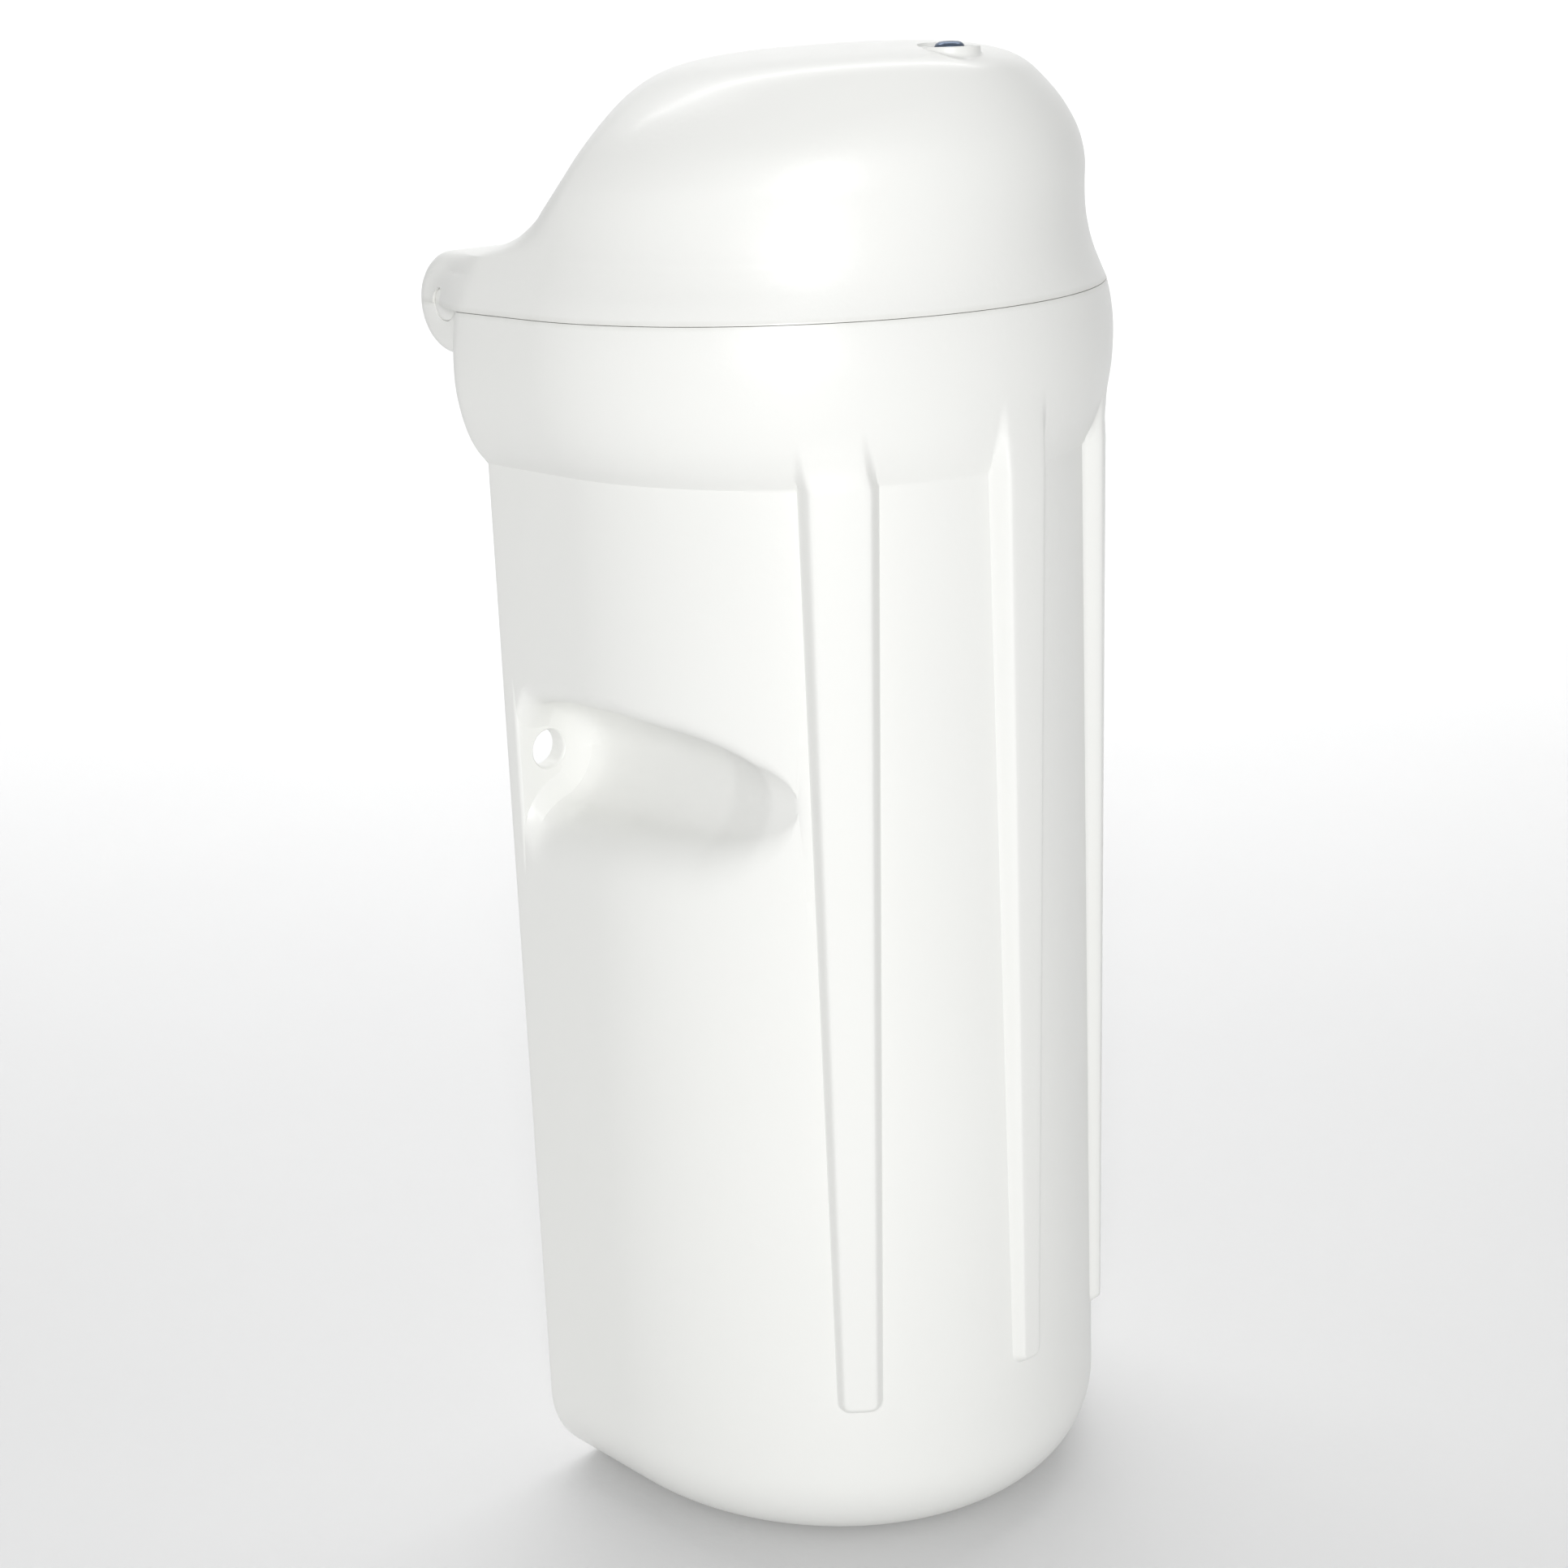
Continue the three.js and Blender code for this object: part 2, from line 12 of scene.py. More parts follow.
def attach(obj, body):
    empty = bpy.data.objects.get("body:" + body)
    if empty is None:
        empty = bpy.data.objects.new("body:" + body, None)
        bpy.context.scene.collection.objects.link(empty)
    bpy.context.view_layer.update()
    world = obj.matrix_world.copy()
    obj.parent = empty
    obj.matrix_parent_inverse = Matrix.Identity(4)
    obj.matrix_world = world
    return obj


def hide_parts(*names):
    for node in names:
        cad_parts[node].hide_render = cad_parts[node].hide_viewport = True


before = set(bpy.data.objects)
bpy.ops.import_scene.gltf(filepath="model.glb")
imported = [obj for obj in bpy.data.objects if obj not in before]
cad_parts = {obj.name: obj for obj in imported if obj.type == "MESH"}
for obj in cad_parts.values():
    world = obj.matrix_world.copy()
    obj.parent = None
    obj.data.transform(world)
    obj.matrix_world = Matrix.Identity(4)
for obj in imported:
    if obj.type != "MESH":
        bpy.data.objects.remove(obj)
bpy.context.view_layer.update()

MM = 0.001

# ---- dimensions shared with the CAD model ----
WALL = 3.0
GAP = 0.3
BODY_HALF = 72.9
BODY_FRONT = 79.6
BACK = 34.0
BASE_RADIUS = 24.0
NECK_Z = 286.0
SEAM_Z = 325.0
COLLAR_TOP_Z = 331.0
COLLAR_INSET = 7.0
BODY_SQUARE = 90.0

HINGE_Y = 47.5
HINGE_Z = SEAM_Z
NOSE_RADIUS = 13.0
NOSE_HALF = 72.8
NOSE_ROUND = 4.5                # rounding of the nose's two ends
HOOD_RADIUS = 10.5
HOOD_HALF = 57.0
KNUCKLE_RADIUS = 9.8
KNUCKLES = [(-38.0, 11.0), (0.0, 14.0), (38.0, 11.0)]
PIN_RADIUS = 2.5
PIN_HALF = 69.0
CAP_RADIUS = 4.2
CAP_THICKNESS = 2.6

# Ribs: foot height, angle from the front at foot and top, half width at foot and top.
RIBS = [
    (48.0, 0.0, 0.0, 4.6, 8.4),
    (44.0, -35.3, -34.0, 5.9, 9.7),
    (44.0, 35.3, 34.0, 5.9, 9.7),
]
RIB_PROUD = (2.6, 4.8)          # at the foot and at the neck
RIB_FLANK = (2.3, 3.3)          # width of the flank, which is an S in section
RIB_CORNER = 3.5                # corner radius of the foot's end
RIB_MEET = 2.6                  # size of the fillet where a rib runs into the bell
# How much of a rib is left at a height above the neck, where it runs out into the bell.
RIB_FADE = [(0.0, 1.0), (8.0, 0.92), (14.0, 0.66), (19.0, 0.3), (24.0, -0.3)]

# The screwdriver channel: (y, middle x, middle z, radius) from the pad forwards.
SCOOP = [
    (28.3, 64.0, 209.2, 14.6),
    (10.0, 64.6, 210.6, 15.7),
    (-8.0, 64.8, 210.9, 15.8),
    (-30.0, 64.2, 209.6, 14.6),
    (-46.0, 65.0, 208.5, 12.7),
    (-60.0, 64.4, 208.4, 12.7),
]
SCOOP_END = 28.3
SCOOP_TOP = 234.0               # rows between these heights follow the channel
SCOOP_BOTTOM = 174.0
SCOOP_UPPER_LIP = 6.5           # radii where the channel runs out through the side
SCOOP_LOWER_LIP = 16.0
SCOOP_FILLET = 7.5              # between the channel and its pad
HOLE_X = 63.2
HOLE_Z = 210.0
HOLE_RADIUS = 5.0

BOSS_Y = -60.5
BOSS_RADIUS = 7.3
BOSS_LOW = 374.0
BOSS_TOP = 384.0
DISH_RADIUS = 5.9
DISH_Z = 381.6
BORE_RADIUS = 3.2

# (z, half width, front, squareness) up the bell, and for the lid also back and centre.
RIM = (81.8, 82.0, 20.0)
BELL = [
    (NECK_Z, BODY_HALF, BODY_FRONT, BODY_SQUARE),
    (290.0, 76.4, 81.0, 60.0),
    (295.0, 79.4, 82.4, 40.0),
    (301.0, 81.6, 83.3, 30.0),
    (307.0, 82.8, 83.7, 26.0),
    (314.0, 83.2, 83.7, 22.0),
    (320.0, 82.8, 83.0, 20.0),
    (SEAM_Z, *RIM),
]
LID = [
    (SEAM_Z, 81.8, 82.0, 34.0, 0.0, 20.0),
    (329.0, 79.8, 80.6, 34.0, 0.0, 20.0),
    (333.0, 77.4, 79.8, 34.0, 0.0, 20.0),
    (336.6, 75.6, 79.4, 36.0, 0.0, 14.0),
    (338.6, 74.8, 79.3, 37.0, 0.0, 7.0),
    (341.0, 73.9, 79.2, 32.0, 0.0, 4.0),
    (345.0, 72.9, 79.3, 28.0, 0.0, 2.9),
    (350.0, 72.0, 79.6, 24.5, -1.0, 2.4),
    (356.0, 70.3, 80.0, 21.5, -4.0, 2.1),
    (363.0, 66.2, 79.2, 19.5, -7.0, 2.0),
    (370.0, 59.6, 76.8, 18.0, -9.5, 2.0),
    (375.5, 52.6, 73.8, 16.0, -11.0, 2.0),
    (379.6, 45.6, 70.6, 12.0, -13.5, 2.0),
    (382.2, 38.0, 66.0, 6.0, -17.5, 2.0),
    (384.0, 27.0, 59.5, -5.0, -24.0, 2.0),
    (385.0, 14.0, 50.0, -22.0, -33.0, 2.0),
]
LID_TOP_Z = LID[-1][0]


# ---- numbers ----
def lerp(a, b, t):
    return a + (b - a) * t


def smoothstep(x):
    x = np.clip(x, 0.0, 1.0)
    return x * x * (3.0 - 2.0 * x)


def spline(table, count):
    """count rows on a smooth curve through the rows of a table, evenly spread by table row."""
    table = np.array(table, float)
    padded = np.vstack([2 * table[0] - table[1], table, 2 * table[-1] - table[-2]])
    rows = []
    for s in np.linspace(0, len(table) - 1, count):
        i = min(int(s), len(table) - 2)
        t = s - i
        p0, p1, p2, p3 = padded[i:i + 4]
        rows.append(0.5 * (2 * p1 + (p2 - p0) * t + (2 * p0 - 5 * p1 + 4 * p2 - p3) * t ** 2
                           + (3 * p1 - p0 - 3 * p2 + p3) * t ** 3))
    return np.array(rows)


def resample(points, count):
    """count points evenly spaced along a polyline, both ends included."""
    points = np.asarray(points, float)
    steps = np.linalg.norm(np.diff(points, axis=0), axis=1)
    along = np.concatenate([[0.0], np.cumsum(steps)])
    at = np.linspace(0.0, along[-1], count)
    return np.stack([np.interp(at, along, points[:, k]) for k in range(points.shape[1])], axis=1)


# ---- meshes ----
def new_object(name, verts, faces):
    mesh = bpy.data.meshes.new(name)
    mesh.from_pydata([tuple(v) for v in np.asarray(verts, float) * MM], [], faces)
    bm = bmesh.new()
    bm.from_mesh(mesh)
    bmesh.ops.remove_doubles(bm, verts=bm.verts, dist=0.01 * MM)
    bmesh.ops.recalc_face_normals(bm, faces=bm.faces)
    bm.to_mesh(mesh)
    bm.free()
    mesh.polygons.foreach_set("use_smooth", [True] * len(mesh.polygons))
    obj = bpy.data.objects.new(name, mesh)
    bpy.context.scene.collection.objects.link(obj)
    return obj


def ring_stack(rings, cap_ends=True):
    """Vertices and faces of a surface through rings of equal count, closed with a fan at each end."""
    rings = [np.asarray(r, float) for r in rings]
    count = len(rings[0])
    verts = np.concatenate(rings)
    faces = []
    for r in range(len(rings) - 1):
        for i in range(count):
            j = (i + 1) % count
            faces.append((r * count + i, r * count + j, (r + 1) * count + j, (r + 1) * count + i))
    if cap_ends:
        ends = np.array([rings[0].mean(axis=0), rings[-1].mean(axis=0)])
        low, high = len(verts), len(verts) + 1
        verts = np.concatenate([verts, ends])
        last = (len(rings) - 1) * count
        for i in range(count):
            j = (i + 1) % count
            faces.append((low, j, i))
            faces.append((high, last + i, last + j))
    return verts, faces


def lathe(profile, axis_point, axis="Z", steps=96, closed=False):
    """A surface turned from (radius, along) pairs; it closes on the axis or on itself."""
    rings = []
    for radius, along in profile:
        a = np.linspace(0, 2 * np.pi, steps, endpoint=False)
        c, s = radius * np.cos(a), radius * np.sin(a)
        flat = np.full_like(a, along)
        ring = np.stack({"Z": [c, s, flat], "X": [flat, c, s], "Y": [s, flat, c]}[axis], 1)
        rings.append(ring + np.asarray(axis_point, float))
    if closed:
        rings.append(rings[0])
    return ring_stack(rings, cap_ends=not closed)


def rounded(profile, radius, segments=5):
    """A polyline with its inner corners rounded; radius is one number, or one for each corner."""
    points = [np.asarray(p, float) for p in profile]
    radii = radius if hasattr(radius, "__len__") else [radius] * (len(points) - 2)
    out = [points[0]]
    for before, corner, after, r in zip(points, points[1:], points[2:], radii):
        a, b = before - corner, after - corner
        la, lb = np.linalg.norm(a), np.linalg.norm(b)
        reach = min(r, 0.49 * la, 0.49 * lb)
        start, end = corner + a / la * reach, corner + b / lb * reach
        for k in range(segments + 1):
            t = k / segments
            out.append((1 - t) ** 2 * start + 2 * t * (1 - t) * corner + t * t * end)
    out.append(points[-1])
    return np.array(out)


def merge_into(target, *others):
    """Joins objects into target, which keeps its name."""
    bm = bmesh.new()
    bm.from_mesh(target.data)
    for other in others:
        bm.from_mesh(other.data)
        bpy.data.objects.remove(other, do_unlink=True)
    bm.to_mesh(target.data)
    bm.free()
    return target


def cut(obj, cutter):
    """Takes cutter's volume out of obj."""
    step = obj.modifiers.new("cut", "BOOLEAN")
    step.operation = "DIFFERENCE"
    step.solver = "EXACT"
    step.object = cutter
    graph = bpy.context.evaluated_depsgraph_get()
    mesh = bpy.data.meshes.new_from_object(obj.evaluated_get(graph), depsgraph=graph)
    obj.modifiers.clear()
    old = obj.data
    obj.data = mesh
    mesh.name = obj.name
    bpy.data.meshes.remove(old)
    bpy.data.objects.remove(cutter, do_unlink=True)
    obj.data.polygons.foreach_set("use_smooth", [True] * len(obj.data.polygons))


def crease(obj, degrees=35.0):
    """Marks edges sharper than an angle, so that smooth shading stops at them."""
    obj.data.set_sharp_from_angle(angle=math.radians(degrees))


# ---- canister body ----
# One half of the plan outline behind its centre line, from the side to the middle of the back,
# as the slope of a ray: y / back depth over x / half width. The columns gather at the corner.
PAD_STEPS = 9
PAD_EDGE = 1.0                  # the pad's outer edge rounds off over this depth
PAD_Y = [SCOOP_END + PAD_EDGE * k / PAD_STEPS for k in range(1, PAD_STEPS + 1)]
SIDE_Y = list(np.linspace(0.0, SCOOP_END, 12)[1:]) + PAD_Y
CORNER = [0.875, 0.89, 0.905, 0.918, 0.93, 0.941, 0.951, 0.96, 0.968, 0.976, 0.984, 0.992, 1.0]
BACK_X = [0.992, 0.984, 0.976, 0.968, 0.96, 0.951, 0.941, 0.93, 0.918, 0.9, 0.88, 0.85, 0.81,
          0.76, 0.7, 0.62, 0.54, 0.46, 0.38, 0.3, 0.22, 0.14, 0.07, 0.0]


def back_quarter(half, depth, square):
    """(x, y) from just past the side's start to the middle of the back."""
    side = np.array([y / BACK for y in SIDE_Y] + CORNER)
    grow = (1 + side ** square) ** (-1 / square)
    along_side = np.stack([half * grow, depth * side * grow], 1)
    share = np.array(BACK_X)
    grow = (1 + share ** square) ** (-1 / square)
    along_back = np.stack([half * share * grow, depth * grow], 1)
    return np.concatenate([along_side, along_back])


def to_turn(degrees):
    """The ellipse parameter for an angle seen from the centre line."""
    a = math.radians(degrees)
    return math.atan2(math.sin(a) * BODY_FRONT, math.cos(a) * BODY_HALF)


def rib_at(rib, z):
    """The rib's middle as an ellipse parameter, its half width, and millimetres per radian there."""
    foot_z, foot_angle, top_angle, foot_half, top_half = rib
    up = np.clip((z - foot_z) / (NECK_Z - foot_z), 0.0, 1.0)
    turn = to_turn(lerp(foot_angle, top_angle, up))
    rate = math.hypot(BODY_HALF * math.cos(turn), BODY_FRONT * math.sin(turn))
    return turn, lerp(foot_half, top_half, up), rate, up


FLANK_SHARE = np.linspace(0, 1, 10)
OUTSIDE_FOOT = 0.35
SIDE_COLUMNS = 40
BETWEEN_COLUMNS = 13
CROWN_COLUMNS = 6


def front_turns(z):
    """The ellipse parameter of each column on the front, from the left side to the right side."""
    turns = [-math.pi / 2]
    for rib in sorted(RIBS, key=lambda r: r[1]):
        middle, half, rate, up = rib_at(rib, z)
        flank = lerp(*RIB_FLANK, up)
        edge = [half + OUTSIDE_FOOT] + [half - flank * s for s in FLANK_SHARE]
        crown = list(np.linspace(half - flank, 0, CROWN_COLUMNS + 1)[1:])
        left = [middle - e / rate for e in edge + crown]
        right = [middle + e / rate for e in (edge + crown)[::-1][1:]]
        count = SIDE_COLUMNS if len(turns) == 1 else BETWEEN_COLUMNS
        turns += list(np.linspace(turns[-1], left[0], count)[1:-1]) + left + right
    turns += list(np.linspace(turns[-1], math.pi / 2, SIDE_COLUMNS)[1:])
    return np.array(turns)


def rib_height(turns, z):
    """How far the ribs stand off the wall at each column."""
    height = np.zeros_like(turns)
    for rib in RIBS:
        middle, half, rate, up = rib_at(rib, z)
        across = np.abs(turns - middle) * rate
        to_side, to_end = half - across, z - rib[0]
        corner = np.hypot(np.maximum(RIB_CORNER - to_side, 0), max(RIB_CORNER - to_end, 0))
        inside = np.where(corner > 0, RIB_CORNER - corner, np.minimum(to_side, to_end))
        share = np.clip(inside / lerp(*RIB_FLANK, up), 0.0, 1.0)
        round_over = smoothstep(share ** 0.8)
        fade = np.interp(z - NECK_Z, *np.array(RIB_FADE).T)
        height = np.maximum(height, lerp(*RIB_PROUD, up) * round_over * fade)
    return height


def body_ring(z, half, front, back, square, ribs=False):
    """A closed plan outline: the front columns, then right side, back and left side."""
    turns = front_turns(z)
    points = np.stack([half * np.sin(turns), -front * np.cos(turns)], 1)
    if ribs:
        wall = np.stack([BODY_HALF * np.sin(turns), -BODY_FRONT * np.cos(turns)], 1)
        normal = np.stack([np.sin(turns) / BODY_HALF, -np.cos(turns) / BODY_FRONT], 1)
        normal /= np.linalg.norm(normal, axis=1)[:, None]
        height = rib_height(turns, z)
        bulge = ((points - wall) * normal).sum(axis=1)
        blend = RIB_MEET * np.clip(height, 0.01, 1.0) * smoothstep((z - NECK_Z + 4) / 8) + 1e-6
        meet = np.maximum(blend - np.abs(height - bulge), 0) ** 2 / (4 * blend)
        points = points + normal * (np.maximum(height - bulge, 0) + meet * (height > 0))[:, None]
    quarter = back_quarter(half, back, square)
    left = quarter[::-1][1:] * (-1, 1)
    plan = np.concatenate([points, quarter, left])
    return np.column_stack([plan, np.full(len(plan), z)])


def scoop_at(y):
    """The channel's middle x, middle z and radius at a depth, fillet to the pad included."""
    table = np.array(SCOOP)[::-1]
    x, z, radius = (np.interp(y, table[:, 0], table[:, k]) for k in (1, 2, 3))
    into = np.clip((y - (SCOOP_END - SCOOP_FILLET)) / SCOOP_FILLET, 0.0, 1.0)
    return x, z, radius - SCOOP_FILLET * (1 - math.sqrt(1 - into ** 2))


LIP_STEPS = 9
FLOOR_STEPS = 41


def channel_profile(x0, y):
    """(x, z) down the wall at half width x0, through the channel; the same count for every x0."""
    mid_x, mid_z, radius = scoop_at(y)

    def lip(r, side):
        cx = x0 - r
        if cx >= mid_x:
            cz = mid_z + side * (radius + r)
            touch = (cx, mid_z + side * radius)
        else:
            rise = math.sqrt(max((radius + r) ** 2 - (mid_x - cx) ** 2, 0.0))
            cz = mid_z + side * rise
            share = radius / (radius + r)
            touch = (mid_x + (cx - mid_x) * share, mid_z + side * rise * share)
        end = math.atan2(side * (touch[1] - cz), touch[0] - cx)
        turn = np.linspace(0.0, end, LIP_STEPS)
        return np.stack([cx + r * np.cos(turn), cz + side * r * np.sin(turn)], 1), np.array(touch)

    high, high_touch = lip(SCOOP_UPPER_LIP, 1)
    low, low_touch = lip(SCOOP_LOWER_LIP, -1)
    start = math.atan2(high_touch[1] - mid_z, min(high_touch[0] - mid_x, 0.0))
    end = math.atan2(low_touch[1] - mid_z, min(low_touch[0] - mid_x, 0.0)) + 2 * math.pi
    turn = np.linspace(start, end, FLOOR_STEPS)
    floor = np.stack([mid_x + radius * np.cos(turn), mid_z + radius * np.sin(turn)], 1)
    wall_top = [(x0, lerp(SCOOP_TOP, high[0][1], t)) for t in (0, 0.33, 0.67)]
    wall_bottom = [(x0, lerp(low[0][1], SCOOP_BOTTOM, t)) for t in (0.33, 0.67, 1)]
    flat_top = [lerp(high_touch, floor[0], t) for t in (0.33, 0.67)]
    flat_bottom = [lerp(floor[-1], low_touch, t) for t in (0.33, 0.67)]
    return np.concatenate([wall_top, high, flat_top, floor, flat_bottom, low[::-1], wall_bottom])


def channel_band():
    """Rings through the two channels, from the top one down."""
    pad = channel_profile(BODY_HALF, SCOOP_END)
    rows = len(pad)
    levels = np.linspace(SCOOP_TOP, SCOOP_BOTTOM, rows)
    rings = np.array([body_ring(z, BODY_HALF, BODY_FRONT, BACK, BODY_SQUARE, ribs=True)
                      for z in levels])
    turns = front_turns((SCOOP_TOP + SCOOP_BOTTOM) / 2)
    place = rings[rows // 2]
    wall_x = place[:, 0].copy()
    wall_x[:len(turns)] = BODY_HALF * np.sin(turns)
    wall_y = place[:, 1].copy()
    wall_y[:len(turns)] = -BODY_FRONT * np.cos(turns)
    depth = BODY_HALF - pad[:, 0]
    open_share = smoothstep(depth / PAD_EDGE)
    for i, (x, y) in enumerate(zip(wall_x, wall_y)):
        mid_x, _, radius = scoop_at(y)
        side = 1.0 if x > 0 else -1.0
        if y <= SCOOP_END + 1e-6:
            if abs(x) > mid_x - radius + 0.02:
                profile = channel_profile(abs(x), y)
                rings[:, i, 0] = side * profile[:, 0]
                rings[:, i, 1] = y
                rings[:, i, 2] = profile[:, 1]
        elif y <= SCOOP_END + PAD_EDGE + 1e-6:
            q = (y - SCOOP_END) / PAD_EDGE
            share = min(q / 0.7, 1.0)
            edge_turn = np.clip((q - 0.7) / 0.3, 0.0, 1.0) * math.pi / 2
            round_off = np.minimum(PAD_EDGE, depth / 2)
            outer = BODY_HALF - round_off * (1 - math.sin(edge_turn))
            rings[:, i, 0] = side * lerp(pad[:, 0], outer, share)
            rings[:, i, 1] = lerp(y, SCOOP_END + round_off * (1 - math.cos(edge_turn)), open_share)
            rings[:, i, 2] = lerp(pad[:, 1], levels, share)
    return rings


def body_outer():
    """Rings up the outside of the body, from the flat underside to the parting plane."""
    rings = []
    for degrees in np.linspace(0, 90, 19):
        t = math.radians(degrees)
        pull = BASE_RADIUS * (1 - math.sin(t))
        rings.append(body_ring(BASE_RADIUS * (1 - math.cos(t)), BODY_HALF - pull, BODY_FRONT - pull,
                               BACK, BODY_SQUARE))
    straight = list(np.linspace(28, 43, 5)) + list(np.linspace(43.6, 53, 32)) \
        + list(np.linspace(58, SCOOP_BOTTOM - 4, 12))
    wall = lambda z: body_ring(z, BODY_HALF, BODY_FRONT, BACK, BODY_SQUARE, ribs=True)
    rings += [wall(z) for z in straight]
    rings += list(channel_band()[::-1])
    rings += [wall(z) for z in np.linspace(SCOOP_TOP + 4, NECK_Z - 0.6, 10)]
    for z, half, front, square in spline(BELL, 57):
        rings.append(body_ring(z, half, front, BACK, square, ribs=True))
    return rings


def body_inner():
    """Rings over the parting plane, round the spigot and down the inside to the floor."""
    half, front, square = RIM

    def rim_ring(inset, z):
        return body_ring(z, half - inset, front - inset, BACK - inset, square)

    profile = [(0.12, SEAM_Z + 0.0), (6.6, SEAM_Z), (7.0, SEAM_Z + 0.4), (7.0, COLLAR_TOP_Z - 0.7),
               (7.2, COLLAR_TOP_Z - 0.2), (7.7, COLLAR_TOP_Z), (8.8, COLLAR_TOP_Z),
               (9.3, COLLAR_TOP_Z - 0.2), (9.5, COLLAR_TOP_Z - 0.7), (9.5, SEAM_Z - 2.6),
               (9.1, SEAM_Z - WALL), (3.6, SEAM_Z - WALL)]
    rings = [rim_ring(inset, z) for inset, z in profile]

    skin = {}

    def skin_at(x0, y, z):
        """Half width of the outside at a point of the wall, channel and lips included."""
        key = round(y, 2)
        if key not in skin:
            skin[key] = channel_profile(x0, min(y, SCOOP_END - SCOOP_FILLET))[::-1]
        return np.interp(z, skin[key][:, 1], skin[key][:, 0])

    def inner_ring(z, half, front, square):
        ring = body_ring(z, half - WALL, front - WALL, BACK - WALL, square)
        if not SCOOP_BOTTOM < z < SCOOP_TOP:
            return ring
        for point in ring:
            wall_x = BODY_HALF * math.sqrt(max(1 - min(point[1] / BODY_FRONT, 0.0) ** 2, 0.0))
            mid_x, _, radius = scoop_at(min(point[1], SCOOP_END - SCOOP_FILLET))
            if wall_x > mid_x - radius + 0.02:
                limit = min(skin_at(wall_x, point[1], z + dz) for dz in (-2.5, 0.0, 2.5)) - WALL
                point[0] = min(max(point[0], -limit), limit)
        return ring

    for z, half, front, square in spline(BELL, 15)[::-1]:
        if z < SEAM_Z - WALL - 0.5:
            rings.append(inner_ring(z, half, front, square))
    levels = [260, 240, *np.linspace(SCOOP_TOP, SCOOP_BOTTOM + 8, 40), 180, 120, 60]
    for z in levels:
        rings.append(inner_ring(z, BODY_HALF, BODY_FRONT, BODY_SQUARE))
    radius = BASE_RADIUS - WALL
    for degrees in np.linspace(90, 0, 9):
        t = math.radians(degrees)
        pull = radius * (1 - math.sin(t))
        rings.append(inner_ring(WALL + radius * (1 - math.cos(t)), BODY_HALF - pull,
                                BODY_FRONT - pull, BODY_SQUARE))
    return rings


def knuckle(x, half):
    """A hinge knuckle with the web that carries it off the flat back."""
    turn = np.linspace(math.radians(248), math.radians(538), 56)
    arc = np.stack([HINGE_Y + KNUCKLE_RADIUS * np.cos(turn),
                    HINGE_Z + KNUCKLE_RADIUS * np.sin(turn)], 1)
    section = np.concatenate([[(BACK - 1.0, HINGE_Z - 18.6)], [(BACK - 0.2, HINGE_Z - 18.0)], arc,
                              [(BACK - 1.0, HINGE_Z - GAP)]])
    centre = np.array([HINGE_Y, HINGE_Z])
    rings = []
    for along, inset in [(-half, 0.8), (-half + 0.25, 0.25), (-half + 0.8, 0.0), (half - 0.8, 0.0),
                         (half - 0.25, 0.25), (half, 0.8)]:
        shrink = 1 - inset / KNUCKLE_RADIUS
        plan = centre + (section - centre) * shrink
        rings.append(np.column_stack([np.full(len(plan), x + along), plan]))
    return new_object("knuckle", *ring_stack(rings))


def rod_cutter(profile, axis_point, axis, steps=64):
    """A closed turned solid to cut with, from (radius, along) pairs."""
    return new_object("cutter", *lathe(profile, axis_point, axis, steps))


def canister_body():
    body = new_object("canister_shell", *ring_stack(body_outer() + body_inner()))
    hole = [(HOLE_RADIUS + 2.0, SCOOP_END - 2.0), (HOLE_RADIUS + 0.6, SCOOP_END - 0.1),
            (HOLE_RADIUS + 0.15, SCOOP_END + 0.3), (HOLE_RADIUS, SCOOP_END + 0.9),
            (HOLE_RADIUS, BACK - 0.6), (HOLE_RADIUS + 0.7, BACK + 0.1), (HOLE_RADIUS + 2.0, BACK + 1.4)]
    for side in (-1, 1):
        cut(body, rod_cutter(hole, (side * HOLE_X, 0, HOLE_Z), "Y"))
    merge_into(body, *[knuckle(x, half) for x, half in KNUCKLES])
    crease(body)
    return body


# ---- lid ----
QUARTER_COLUMNS = 130
DENSE = 300
S_START = 27.0                  # where the lid's side starts to draw in towards the nose
NOSE_TOP_Z = HINGE_Z + NOSE_RADIUS
PARTING = 0.1                   # the gap that shows between lid and body
LID_LOW = SEAM_Z + PARTING
# (z, y) up the concave blend from the top of the nose to the back of the dome.
NOSE_BLEND = [(338.0, 47.5), (338.1, 44.6), (338.4, 41.8), (338.9, 39.0), (339.7, 36.4), (340.8, 34.0),
              (342.4, 31.6), (344.5, 29.2), (347.0, 27.2)]


def superellipse_quarter(half, depth, square):
    a = np.linspace(0, np.pi / 4, DENSE)
    slope = np.tan(a)
    grow = (1 + slope ** square) ** (-1 / square)
    side = np.stack([half * grow, depth * slope * grow], 1)
    end = np.stack([half * slope * grow, depth * grow], 1)
    return np.concatenate([side, end[::-1]])


